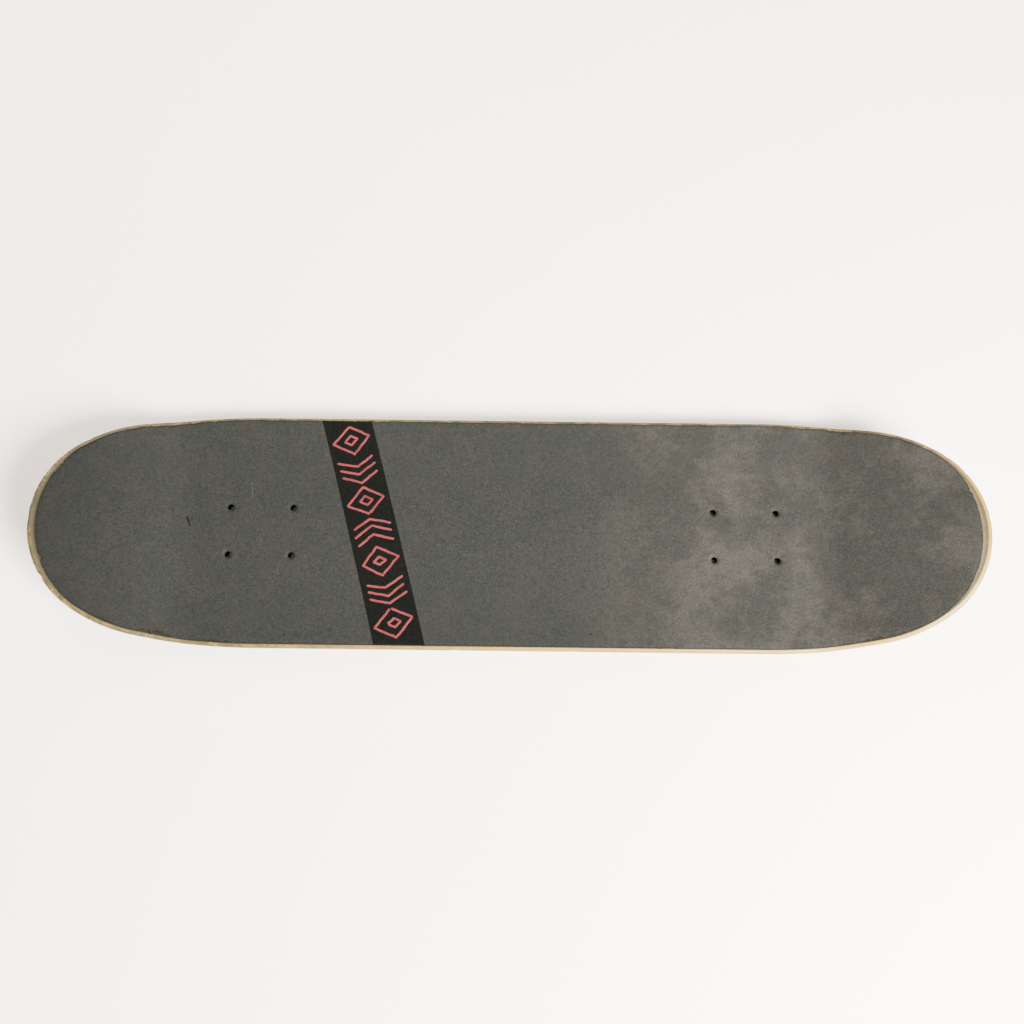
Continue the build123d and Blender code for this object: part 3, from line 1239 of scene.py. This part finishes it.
@dataclass
class Veneers:
    """The seven maple veneers, each a closed solid that keeps its CAD layer's thickness."""

    board: PressedBoard
    bolts: BoltPattern
    wear: Wear
    names: tuple[str, ...] = (
        "bottom_face_ply",
        "lower_long_ply",
        "lower_cross_ply",
        "core_ply",
        "upper_cross_ply",
        "upper_long_ply",
        "top_face_ply",
    )
    slots: tuple[str, ...] = (
        "bottom_veneer",
        "long_grain_veneer",
        "cross_grain_veneer",
        "long_grain_veneer",
        "cross_grain_veneer",
        "long_grain_veneer",
        "top_veneer",
    )
    edge_spacing: float = 1.6 * MM
    hole_points: int = 36
    fine_spacing: float = 4.2 * MM
    coarse_spacing: float = 9 * MM
    clearance: float = 6.6 * MM
    rings: tuple[int, ...] = (7, 4, 3, 2, 3, 4, 7)
    crowding: float = 1.7
    # The bolt holes' walls carry these values; the wood's finish paints them near black as shade.
    countersink_shade_mark: float = -5.4 * MM
    hole_shade_mark: float = -10 * MM
    edge: Edge = field(init=False)

    def __post_init__(self) -> None:
        """Work out the outline."""
        self.edge = self.board.edge(self.edge_spacing)

    def countersink_floor(self) -> float:
        """The height where the countersinks end and the straight bolt holes, painted near black as shade, begin."""
        return self.board.thickness - (self.bolts.countersink_radius - self.bolts.hole_radius)

    def hole_mark(self, height: float) -> float:
        """The value of a bolt hole's wall at a height, for painted shade: very dark in the countersink, black below
        it.
        """
        return self.countersink_shade_mark if height > self.countersink_floor() else self.hole_shade_mark

    def hole(self, centre: tuple[float, float], height: float) -> np.ndarray:
        """The ring of a bolt hole at a height: straight below, countersunk at the top."""
        radius = self.bolts.countersink_radius - (self.board.thickness - height)
        radius = max(self.bolts.hole_radius, radius)
        return np.array(centre) + radius * circle(self.hole_points)

    def unworn_loops(self) -> list[np.ndarray]:
        """The outline before rounding and wear, and the countersinks' rims."""
        rims = [self.hole(centre, self.board.thickness) for centre in self.bolts.centres()]
        return [self.board.outline(self.edge, 0.0), *rims]

    def loops(self, height: float) -> list[np.ndarray]:
        """Every edge of the deck's cross-section at a height, on the flat pattern."""
        base = self.board.outline(self.edge, 0.0)
        inset = self.board.rounding(height) + self.wear.at_edge(base, height)
        return [self.board.outline(self.edge, inset)] + [self.hole(c, height) for c in self.bolts.centres()]

    def surface(self, patch: Patch, height: float) -> tuple[np.ndarray, np.ndarray]:
        """A surface of the deck and its points' distance from the edge.

        Args:
            patch: its triangles, cut to the plain outline.
            height: its height above the underside.

        Returns:
            Its points in the row's frame, and their distance inside the outline.
        """
        flat = patch.points.copy()
        for numbers, ring in zip(patch.loops, self.loops(height)):
            flat[numbers] = ring
        lift = self.wear.below(self.board, flat) if height == 0 else 0.0
        mark = distance_to(flat, self.board.outline(self.edge, 0.0))
        mark[np.concatenate(patch.loops[1:])] = self.hole_mark(height)
        return self.board.place(flat, height + lift), mark

    def ring_heights(self, layer: int) -> np.ndarray:
        """Heights of the wall's rings in one layer, closer together where the edge curves most."""
        each = self.board.thickness / len(self.names)
        share = np.linspace(0, 1, self.rings[layer] + 1)[1:-1]
        middle = len(self.names) // 2
        if layer < middle:
            share = share**self.crowding
        elif layer > middle:
            share = 1 - (1 - share[::-1]) ** self.crowding
        return (layer + share) * each

    def build(self) -> list[bpy.types.Object]:
        """Make all seven.

        Returns:
            The veneers, from the bottom up.
        """
        plain = self.unworn_loops()
        nothing = np.zeros((0, 2))
        fine = triangulate(plain, self.fine_spacing, self.clearance, nothing)
        coarse = triangulate(plain, self.coarse_spacing, self.clearance, nothing)
        each = self.board.thickness / len(self.names)
        made = []
        points, mark = self.surface(fine, 0.0)
        patch = fine
        for layer, name in enumerate(self.names):
            high_points, high_mark = self.surface(coarse, (layer + 1) * each)
            walls: list[list[tuple[np.ndarray, np.ndarray | float]]] = [[] for _ in plain]
            for height in self.ring_heights(layer):
                rings = self.loops(height)
                values = [np.hypot(*(rings[0] - plain[0]).T)] + [self.hole_mark(height)] * (len(rings) - 1)
                for wall, ring, value in zip(walls, rings, values):
                    wall.append((self.board.place(ring, height), value))
            thing = close_shell(name + "_shaped", patch, points, coarse, high_points, walls, (mark, high_mark))
            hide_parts(name)
            made.append(thing)
            points, mark, patch = high_points, high_mark, coarse
        return made

    def dress(self, pieces: Sequence[bpy.types.Object]) -> None:
        """Give each veneer its wood."""
        pale, straw = shade(196, 156, 66), shade(176, 134, 50)
        finishes = (
            MapleFinish("maple_underside", shade(204, 166, 108), shade(168, 126, 76), slid=True, roughness=0.38),
            MapleFinish("maple_lower_long", pale, straw),
            MapleFinish("maple_lower_cross", shade(180, 140, 68), shade(146, 106, 44), Grain.ACROSS),
            MapleFinish("maple_core", pale, straw),
            MapleFinish("maple_upper_cross", shade(158, 128, 39), shade(134, 104, 29), Grain.ACROSS),
            MapleFinish("maple_upper_long", shade(138, 110, 33), shade(116, 89, 24), grime_and_shade_share=0.85),
            MapleFinish("maple_top", shade(91, 76, 50), shade(72, 59, 38), grime_and_shade_share=0.92, worn_edge=shade(136, 108, 32)),
        )
        for piece, finish in zip(pieces, finishes):
            piece.data.materials.append(finish.make())


# --- The grip tape --------------------------------------------------------------------------------


class Tear(NamedTuple):
    """A bite out of the tape's outer edge: where it is, its length along the edge and its depth."""

    along: float
    across: float
    length: float
    depth: float


class Curl(NamedTuple):
    """A stretch of the tape's outer edge that has come unstuck and lifts."""

    along: float
    across: float
    length: float
    lift: float


@dataclass(frozen=True)
class Stripe:
    """The leaning band between the two grey pieces, by distances square to its middle line."""

    centre: float = -111 * MM
    lean: float = math.radians(15.0)
    width: float = 41.5 * MM

    def off(self, flat: np.ndarray) -> np.ndarray:
        """How far points lie from the middle line, positive towards the nose."""
        return (flat[:, 0] - self.centre) * math.cos(self.lean) + flat[:, 1] * math.sin(self.lean)

    def point(self, off: float, down: float) -> tuple[float, float]:
        """A point of the flat pattern, from its distance off the middle line and down along it."""
        cosine, sine = math.cos(self.lean), math.sin(self.lean)
        return (self.centre + off * cosine + down * sine, off * sine - down * cosine)


@dataclass
class GripTape:
    """Three pieces of grip tape with ragged, filed edges, bites, curls and dimples at the bolts."""

    board: PressedBoard
    bolts: BoltPattern
    stripe: Stripe
    thickness: float = 0.8 * MM
    side_margin: float = 3.6 * MM
    nose_margin: float = 7.2 * MM
    tail_margin: float = 6.1 * MM
    near_side_less: float = 0.2 * MM
    far_side_less: float = 0.9 * MM
    hole_radius: float = 2.75 * MM
    edge_spacing: float = 1.1 * MM
    spacing: float = 2.6 * MM
    rim_clearance: float = 1.0 * MM
    seam: float = 0.02 * MM
    cut_tolerance: float = 0.02 * MM
    filed_back: float = 0.2 * MM
    bitten_back: float = 0.75 * MM
    filed_reach: float = 1.9 * MM
    edge_share: float = 0.55
    unevenness: float = 0.05 * MM
    hole_points: int = 30
    dimple_depth: float = 1.15 * MM
    dimple_spread: float = 0.7 * MM
    dimple_points: int = 26
    dimple_radii: tuple[float, ...] = (3.7 * MM, 4.3 * MM, 4.9 * MM, 5.5 * MM, 6.4 * MM)
    curl_reach: float = 4.5 * MM
    tears: tuple[Tear, ...] = (
        Tear(-0.3806, 0.0473, 0.010, 0.0016),
        Tear(-0.3561, 0.0698, 0.009, 0.0018),
        Tear(-0.3278, 0.0830, 0.012, 0.0014),
        Tear(-0.3034, 0.0886, 0.010, 0.0022),
        Tear(-0.2911, 0.0906, 0.007, 0.0015),
        Tear(-0.2769, 0.0924, 0.008, 0.0016),
        Tear(-0.3346, -0.0806, 0.014, 0.0015),
        Tear(-0.3036, -0.0886, 0.012, 0.0028),
        Tear(-0.2945, -0.0900, 0.008, 0.0030),
        Tear(-0.2845, -0.0915, 0.009, 0.0024),
        Tear(-0.2443, -0.0953, 0.007, 0.0022),
        Tear(-0.2314, -0.0959, 0.007, 0.0018),
        Tear(0.2623, 0.0949, 0.010, 0.0012),
        Tear(0.2958, 0.0914, 0.012, 0.0013),
        Tear(0.3144, -0.0886, 0.010, 0.0020),
        Tear(0.3337, -0.0846, 0.008, 0.0022),
        Tear(-0.3883, -0.0341, 0.012, 0.0010),
        Tear(0.4012, 0.0299, 0.016, 0.0008),
    )
    curls: tuple[Curl, ...] = (
        Curl(0.2121, 0.0964, 0.014, 0.0011),
        Curl(-0.2925, -0.0903, 0.012, 0.0009),
        Curl(-0.3346, -0.0806, 0.012, 0.0006),
        Curl(0.2788, 0.0935, 0.020, 0.0005),
    )

    def margin(self, edge: Edge) -> np.ndarray:
        """How far inside each point of the deck's outline the tape was trimmed: less along the sides."""
        less = np.where(edge.across < 0, self.near_side_less, self.far_side_less)
        at_tip = np.where(edge.side > 0, self.nose_margin, self.tail_margin) - self.side_margin
        return self.side_margin + at_tip * edge.normal_along**4 - less * (1 - edge.normal_along**2)

    def rim(self) -> np.ndarray:
        """The tape's whole outer edge, before it is cut in three."""
        edge = self.board.edge(self.edge_spacing)
        return self.board.outline(edge, self.margin(edge))

    def trimmed(self, loop: np.ndarray, line: float, side: int) -> np.ndarray:
        """Keep the part of a loop on one side of a line that leans with the stripe.

        Args:
            loop: (n, 2) points.
            line: the line's distance from the stripe's middle line.
            side: +1 to keep what is towards the nose, -1 towards the tail.

        Returns:
            The loop, with new points spread along the cut.
        """
        off = side * (self.stripe.off(loop) - line)
        kept: list[np.ndarray] = []
        for i in range(len(loop)):
            j = (i + 1) % len(loop)
            if off[i] >= 0:
                kept.append(loop[i])
            if (off[i] >= 0) != (off[j] >= 0):
                kept.append(loop[i] + (loop[j] - loop[i]) * off[i] / (off[i] - off[j]))
        result: list[np.ndarray] = []
        for i, start in enumerate(kept):
            end = kept[(i + 1) % len(kept)]
            steps = max(1, round(float(np.hypot(*(end - start))) / self.edge_spacing))
            result += [start + (end - start) * k / steps for k in range(steps)]
        return np.array(result)

    def knife_cut(self, loop: np.ndarray, cuts: Sequence[float]) -> np.ndarray:
        """Which points of a piece's edge lie on its straight cuts."""
        cut = np.zeros(len(loop), bool)
        for line in cuts:
            cut |= np.abs(self.stripe.off(loop) - line) < self.cut_tolerance
        return cut

    def ragged(self, loop: np.ndarray, cuts: Sequence[float]) -> np.ndarray:
        """Roughen a piece's edge: knife-cut along the stripe, filed and torn along the deck's edge.

        Args:
            loop: (n, 2) points, anticlockwise.
            cuts: the distances from the stripe's middle line of this piece's straight cuts.

        Returns:
            The loop, moved inwards where it is damaged.
        """
        tangent = np.roll(loop, -1, 0) - np.roll(loop, 1, 0)
        tangent /= np.maximum(np.hypot(tangent[:, 0], tangent[:, 1]), 1e-9)[:, None]
        inwards = np.column_stack([-tangent[:, 1], tangent[:, 0]])
        cut = self.knife_cut(loop, cuts)
        push = np.where(cut, self.seam * (1 + rough(loop, 120.0, 11.0)), 0.0)
        filed = self.filed_back * (1 + rough(loop, 60.0, 12.0))
        filed += self.bitten_back * np.clip(rough(loop, 380.0, 13.0) - 0.1, 0, 1)
        for tear in self.tears:
            gap = np.hypot(loop[:, 0] - tear.along, loop[:, 1] - tear.across)
            near = np.clip(1 - (gap / tear.length) ** 2, 0, 1)
            filed += tear.depth * near * (0.5 + 1.5 * rough(loop, 330.0, 14.0))
        push = np.where(cut, push, np.maximum(filed, -self.filed_back))
        push[cut != np.roll(cut, 1)] *= 0.5
        return loop + inwards * push[:, None]

    def bolt_hole(self, centre: tuple[float, float], seed: float) -> np.ndarray:
        """A punched bolt hole with a torn rim."""
        around = circle(self.hole_points)
        radius = self.hole_radius * (0.98 + 0.12 * rough(around * 0.5, 3.1, seed))
        return np.array(centre) + radius[:, None] * around

    def dimple(self, flat: np.ndarray) -> np.ndarray:
        """How far the tape is pressed down into the countersinks."""
        down = np.zeros(len(flat))
        reach = self.bolts.countersink_radius + self.dimple_spread
        for centre in self.bolts.centres():
            gap = np.hypot(flat[:, 0] - centre[0], flat[:, 1] - centre[1])
            share = np.clip((reach - gap) / (reach - self.hole_radius), 0, 1.1)
            down = np.maximum(down, self.dimple_depth * share * share * (1.6 - 0.6 * share))
        return down

    def lift(self, flat: np.ndarray, from_rim: np.ndarray) -> np.ndarray:
        """How far the tape has come up off the deck near its curls."""
        up = np.zeros(len(flat))
        for curl in self.curls:
            gap = np.hypot(flat[:, 0] - curl.along, flat[:, 1] - curl.across) / curl.length
            near = np.clip(1 - gap**2, 0, 1)
            back = np.clip(1 - from_rim / self.curl_reach, 0, 1) ** 2
            up = np.maximum(up, curl.lift * near * back)
        return up

    def wrapped(self, flat: np.ndarray) -> np.ndarray:
        """How far the tape goes down over the deck's rounded edge."""
        outline = self.board.outline(self.board.edge(self.edge_spacing), 0.0)
        radius = self.board.edge_rounding
        over = np.clip(radius - distance_to(flat, outline), 0, radius)
        return radius - np.sqrt(radius**2 - over**2)

    def piece(self, name: str, loop: np.ndarray, cuts: Sequence[float], seed: float) -> bpy.types.Object:
        """Make one piece of tape.

        Args:
            name: the CAD node that it stands for.
            loop: its outline on the flat pattern.
            cuts: the distances from the stripe's middle line of its straight cuts.
            seed: picks its own small irregularities.

        Returns:
            The piece, a closed solid.
        """
        edge = self.ragged(loop, cuts)
        centres = [centre for centre in self.bolts.centres() if inside(np.array([centre]), [edge])[0]]
        loops = [edge] + [self.bolt_hole(centre, seed + i) for i, centre in enumerate(centres)]
        around = circle(self.dimple_points)
        rings = [np.array(centre) + radius * around for centre in centres for radius in self.dimple_radii]
        extra = np.concatenate(rings) if rings else np.zeros((0, 2))
        patch = triangulate(loops, self.spacing, self.rim_clearance, extra)
        flat = patch.points
        from_rim = distance_to(flat, edge[~self.knife_cut(loop, cuts)])
        base = self.board.thickness - self.wrapped(flat) - self.dimple(flat) + self.lift(flat, from_rim)
        filed = np.clip(from_rim / self.filed_reach, 0, 1)
        thick = self.thickness * (self.edge_share + (1 - self.edge_share) * filed * (2 - filed))
        thick = thick + self.unevenness * filed * rough(flat, 55.0, seed + 0.5) - self.unevenness
        low = self.board.place(flat, base)
        high = self.board.place(flat, base + thick)
        thing = close_shell(name + "_laid", patch, low, patch, high, [[] for _ in loops], (from_rim, from_rim))
        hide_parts(name)
        return thing

    def build(self) -> dict[str, bpy.types.Object]:
        """Make all three pieces.

        Returns:
            The pieces by the names of the CAD nodes that they stand for.
        """
        half, whole = self.stripe.width / 2, self.rim()
        tail = self.trimmed(whole, -half, -1)
        nose = self.trimmed(whole, half, 1)
        band = self.trimmed(self.trimmed(whole, -half, 1), half, -1)
        return {
            "tail_grip": self.piece("tail_grip", tail, (-half,), 21.0),
            "stripe_grip": self.piece("stripe_grip", band, (-half, half), 41.0),
            "nose_grip": self.piece("nose_grip", nose, (half,), 61.0),
        }

    def dress(self, pieces: dict[str, bpy.types.Object]) -> None:
        """Give the tape its grit."""
        grey = TapeFinish(
            "grip_grey",
            shade(29, 30, 27),
            shade(33, 31, 28),
            shade(60, 56, 50),
            tail_shade=0.36,
        ).make()
        black = TapeFinish(
            "grip_black",
            shade(8, 9, 7),
            shade(10, 10, 8),
            shade(24, 23, 20),
            dust_and_light_share=0.06,
            speckled=0.03,
            sheen=0.04,
            relief=0.14 * MM,
        ).make()
        for name, piece in pieces.items():
            piece.data.materials.append(black if name == "stripe_grip" else grey)


@dataclass
class BandPattern:
    """A plain hand-painted border down the stripe: diamonds and arrowheads in turn."""

    stripe: Stripe
    half_width: float = 16.0 * MM
    stroke: float = 2.05 * MM
    rise: float = 0.1 * MM
    start: float = -95.5 * MM
    diamonds: int = 4
    diamond_height: float = 25 * MM
    arrowheads: int = 3
    arrow_drop: float = 7 * MM
    pitch: float = 7.0 * MM
    pause: float = 4.2 * MM
    unsteady: float = 0.55 * MM
    wobble: float = 1.7 * MM
    seed: int = 7

    def lines(self) -> list[list[tuple[float, float]]]:
        """Every stroke, as points off the middle line and down along it."""
        wide = self.half_width
        strokes: list[list[tuple[float, float]]] = []

        def diamond(top: float, height: float) -> float:
            """A diamond in two strokes round a smaller one."""
            middle = top + height / 2
            strokes.append([(0.0, top), (wide, middle), (0.0, top + height)])
            strokes.append([(0.4 * MM, top - 0.4 * MM), (-wide, middle), (0.3 * MM, top + height + 0.5 * MM)])
            small, short = 0.36 * wide, 0.18 * height
            left, right = (-small, middle), (small, middle)
            strokes.append([left, (0.0, middle - short), right, (0.0, middle + short), left])
            return top + height

        def chevrons(top: float, count: int, drop: float) -> float:
            """Nested arrowheads across the band, pointing down it, or up where the drop is negative."""
            start = top if drop > 0 else top - drop
            for number in range(count):
                level = start + number * self.pitch
                strokes.append([(-wide, level), (0.0, level + drop), (wide, level)])
            return top + abs(drop) + (count - 1) * self.pitch

        down = self.start
        for repeat in range(self.diamonds):
            down = diamond(down, self.diamond_height) + self.pause
            if repeat < self.diamonds - 1:
                down = chevrons(down, self.arrowheads, (-1) ** repeat * self.arrow_drop) + self.pause
        return strokes

    def build(self, surface: bpy.types.Object, paint: NodeShape) -> bpy.types.Object:
        """Paint the strokes onto the stripe.

        Args:
            surface: the stripe's piece of tape.
            paint: the tree that lays strokes on a surface.

        Returns:
            The painted strokes.
        """
        random = np.random.default_rng(self.seed)
        flat = []
        for stroke in self.lines():
            moved = [(a + random.normal(0, self.unsteady), b + random.normal(0, self.unsteady)) for a, b in stroke]
            flat.append([(*self.stripe.point(off, down), 0.0) for off, down in moved])
        ink = InkFinish("stripe_paint", shade(92, 26, 27), shade(58, 16, 17)).make()
        values = {
            "Surface": surface,
            "Width": self.stroke,
            "Rise": self.rise,
            "Wobble": self.wobble,
            "Seed": 3.0,
            "Material": ink,
        }
        thing = paint.apply("stripe_painted_border", line_mesh("border_strokes", flat), values)
        return thing


@dataclass
class RiddenMarks:
    """Small marks of use on the tape: scrapes, pale grains and torn bits along its edges."""

    grain_density: float = 14000.0
    grain_size: float = 0.21 * MM
    scrape_width: float = 1.0 * MM
    gouge_width: float = 1.3 * MM
    mark_rise: float = 0.03 * MM
    mark_wobble: float = 0.9 * MM
    tail_tape_end: float = -140 * MM
    ragged_spacing: float = 3 * MM
    fray_inset: float = 0.6 * MM
    fray_rise: float = 0.1 * MM
    splinter_inset: float = 1.7 * MM
    splinter_drop: float = 0.75 * MM
    bit_spacing: float = 0.8 * MM
    bit_length: float = 2.2 * MM
    bit_thickness: float = 0.2 * MM
    scrapes: tuple[tuple[tuple[float, float], ...], ...] = (
        ((-0.2180, 0.0420), (-0.2170, 0.0345), (-0.2165, 0.0275)),
        ((-0.0800, 0.0225), (-0.0750, 0.0235)),
        ((0.1455, 0.0490), (0.1470, 0.0495)),
        ((0.1520, 0.0375), (0.1530, 0.0370)),
        ((0.1640, -0.0465), (0.1680, -0.0550), (0.1715, -0.0635)),
        ((-0.1910, -0.0300), (-0.1915, -0.0380)),
        ((0.3200, -0.0760), (0.3240, -0.0695), (0.3270, -0.0650)),
        ((-0.0885, -0.0605), (-0.0860, -0.0720)),
    )
    gouges: tuple[tuple[tuple[float, float], ...], ...] = (
        ((-0.2730, 0.0120), (-0.2710, 0.0075), (-0.2695, 0.0035)),
        ((0.0735, -0.0850), (0.0755, -0.0855)),
    )

    def marks(
        self,
        tape: bpy.types.Object,
        board: PressedBoard,
        paint: NodeShape,
        tail: bool,
    ) -> list[bpy.types.Object]:
        """Lay the scrapes and gouges that fall on one piece of tape.

        Args:
            tape: the piece of tape.
            board: the pressed board, to find places on it.
            paint: the tree that lays strokes on a surface.
            tail: whether this is the tail's piece of tape.

        Returns:
            One object for the scrapes and one for the gouges, where there are any.
        """
        made = []
        scraped = PlainFinish("scraped_grit", shade(41, 40, 37), shade(35, 34, 31), 3 * MM, sheen=0.1)
        bared = PlainFinish("bared_resin", shade(11, 11, 10), shade(15, 14, 13), 4 * MM, sheen=0.03)
        kinds = (
            ("scrapes", self.scrapes, self.scrape_width, scraped),
            ("gouges", self.gouges, self.gouge_width, bared),
        )
        for label, lines, width, finish in kinds:
            mine = [line for line in lines if (line[0][0] < self.tail_tape_end) == tail]
            if not mine:
                continue
            flat = [board.place(np.array(line), board.thickness) * np.array([1, 1, 0]) for line in mine]
            values = {
                "Surface": tape,
                "Width": width,
                "Rise": self.mark_rise,
                "Wobble": self.mark_wobble,
                "Seed": 9.0,
                "Material": finish.shared(),
            }
            name = f"{'tail' if tail else 'nose'}_{label}"
            thing = paint.apply(name, line_mesh(name, flat), values)
            made.append(thing)
        return made

    def grains(self, tape: bpy.types.Object, name: str, seed: int, scatter: NodeShape) -> bpy.types.Object:
        """Scatter pale grains over a piece of tape."""
        finish = PlainFinish("pale_grit", shade(50, 49, 46), shade(64, 62, 58), 10 * MM, roughness=0.6, sheen=0.1)
        values = {
            "Density": self.grain_density,
            "Size": self.grain_size,
            "Seed": seed,
            "Material": finish.shared(),
        }
        thing = scatter.apply(name, tape.data.copy(), values)
        return thing

    def torn_bits(self, tape: GripTape, board: PressedBoard, bits: NodeShape) -> list[bpy.types.Object]:
        """Fray the tape's outer edge and splinter the wood beside it."""
        made = []
        edge = board.edge(self.ragged_spacing)
        frayed = PlainFinish("frayed_tape", shade(18, 17, 15), shade(40, 38, 34), 4 * MM, sheen=0.08)
        splintered = PlainFinish("splintered_maple", shade(196, 166, 112), shade(150, 118, 76), 10 * MM)
        at_tape = (tape.margin(edge) + self.fray_inset, board.thickness + self.fray_rise)
        at_wood = (self.splinter_inset, board.thickness - self.splinter_drop)
        kinds = (
            ("tape_frays", at_tape, 0.7, frayed, "grip_tape"),
            ("edge_splinters", at_wood, 0.22, splintered, "top_veneer"),
        )
        for number, (name, (inset, height), share, finish, slot) in enumerate(kinds):
            flat = board.outline(edge, inset)
            rim = board.place(np.concatenate([flat, flat[:1]]), height)
            values = {
                "Spacing": self.bit_spacing,
                "Length": self.bit_length,
                "Thickness": self.bit_thickness,
                "Share": share,
                "Seed": 31 + number,
                "Material": finish.make(),
            }
            thing = bits.apply(name, line_mesh(name, [rim]), values)
            made.append(thing)
        return made


# --- The studio -----------------------------------------------------------------------------------


@dataclass(frozen=True)
class SoftLight:
    """A square soft light, aimed at a point."""

    name: str
    place: tuple[float, float, float]
    aim: tuple[float, float, float]
    size: float
    power: float
    colour: tuple[float, float, float] = (1.0, 1.0, 1.0)

    def hang(self) -> None:
        """Put the light in the scene."""
        lamp = bpy.data.lights.new(self.name, "AREA")
        lamp.shape, lamp.size = "SQUARE", self.size
        lamp.energy, lamp.color = self.power, self.colour
        thing = bpy.data.objects.new(self.name, lamp)
        bpy.context.scene.collection.objects.link(thing)
        thing.location = self.place
        thing.rotation_euler = (Vector(self.aim) - Vector(self.place)).to_track_quat("-Z", "Y").to_euler()


@dataclass(frozen=True)
class Studio:
    """A pale floor, soft light mostly from the near right, and the camera above the deck.

    The camera's three angles, in degrees, turn the room about X, then Y, then Z into the camera's frame.
    """

    floor_size: float = 8.0
    floor: PlainFinish = PlainFinish("pale_floor", shade(254, 246, 236), shade(252, 244, 233), 0.6, 0.7)
    world: float = 0.55
    camera_place: tuple[float, float, float] = (0.00738, -0.14553, 0.84301)
    camera_degrees: tuple[float, float, float] = (-11.19, 0.02, -0.70)
    lens: float = 34.6
    sensor: float = 36.0
    clip: tuple[float, float] = (0.01, 50.0)
    world_colour: Colour = (1.0, 0.985, 0.965, 1.0)
    lights: tuple[SoftLight, ...] = (
        SoftLight("key", (1.1, -1.0, 1.15), (0.05, -0.05, 0.0), 0.9, 360.0, (1.0, 0.985, 0.96)),
        SoftLight("fill", (-0.6, 1.3, 1.25), (0.0, 0.0, 0.0), 1.8, 85.0, (1.0, 0.99, 0.98)),
    )

    def set_camera(self) -> None:
        """Stand the camera."""
        camera = bpy.data.cameras.new("camera")
        camera.lens, camera.sensor_width = self.lens, self.sensor
        camera.clip_start, camera.clip_end = self.clip
        thing = bpy.data.objects.new("camera", camera)
        bpy.context.scene.collection.objects.link(thing)
        tilt_x, tilt_y, tilt_z = (math.radians(value) for value in self.camera_degrees)
        turn = Matrix.Rotation(tilt_z, 4, "Z") @ Matrix.Rotation(tilt_y, 4, "Y") @ Matrix.Rotation(tilt_x, 4, "X")
        thing.matrix_world = Matrix.Translation(self.camera_place) @ turn.transposed()
        bpy.context.scene.camera = thing

    def build(self) -> None:
        """Make the floor, the lights and the camera."""
        half = self.floor_size / 2
        mesh = bpy.data.meshes.new("floor")
        corners = [(-half, -half, 0.0), (half, -half, 0.0), (half, half, 0.0), (-half, half, 0.0)]
        mesh.from_pydata(corners, [], [(0, 1, 2, 3)])
        floor = bpy.data.objects.new("floor", mesh)
        bpy.context.scene.collection.objects.link(floor)
        mesh.materials.append(self.floor.make())
        floor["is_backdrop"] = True
        world = bpy.data.worlds.new("soft_room")
        world.use_nodes = True
        backdrop = world.node_tree.nodes.get("Background")
        backdrop.inputs[0].default_value = self.world_colour
        backdrop.inputs[1].default_value = self.world
        bpy.context.scene.world = world
        for light in self.lights:
            light.hang()
        self.set_camera()


def keep_sizes(after: Any) -> None:
    """Only defines a helper that turns a box into two corners as plain lists; nothing is written."""

    def plain(box: Any) -> list[list[float]]:
        """One box as two corners."""
        return [[float(value) for value in corner] for corner in box]


def main() -> None:
    """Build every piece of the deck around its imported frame, in order, and report it."""
    logging.basicConfig(level=logging.INFO, format="%(name)s: %(message)s")
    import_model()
    Studio().build()
    board, bolts, stripe = PressedBoard(), BoltPattern(), Stripe()
    wood = Veneers(board, bolts, Wear())
    veneers = wood.build()
    wood.dress(veneers)
    grip = GripTape(board, bolts, stripe)
    tapes = grip.build()
    grip.dress(tapes)
    paint, bits, scatter = painted_lines(), loose_bits(), pale_grains()
    used = RiddenMarks()
    pieces = [*veneers, *tapes.values(), BandPattern(stripe).build(tapes["stripe_grip"], paint)]
    pieces += used.marks(tapes["tail_grip"], board, paint, True)
    pieces += used.marks(tapes["nose_grip"], board, paint, False)
    pieces.append(used.grains(tapes["tail_grip"], "tail_pale_grains", 11, scatter))
    pieces.append(used.grains(tapes["nose_grip"], "nose_pale_grains", 12, scatter))
    pieces += used.torn_bits(grip, board, bits)
    for piece in pieces:
        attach(piece, BODY)
        log.info("%s: %d points, %d faces", piece.name, len(piece.data.vertices), len(piece.data.polygons))
    keep_sizes(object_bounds())


if __name__ == "__main__":
    main()
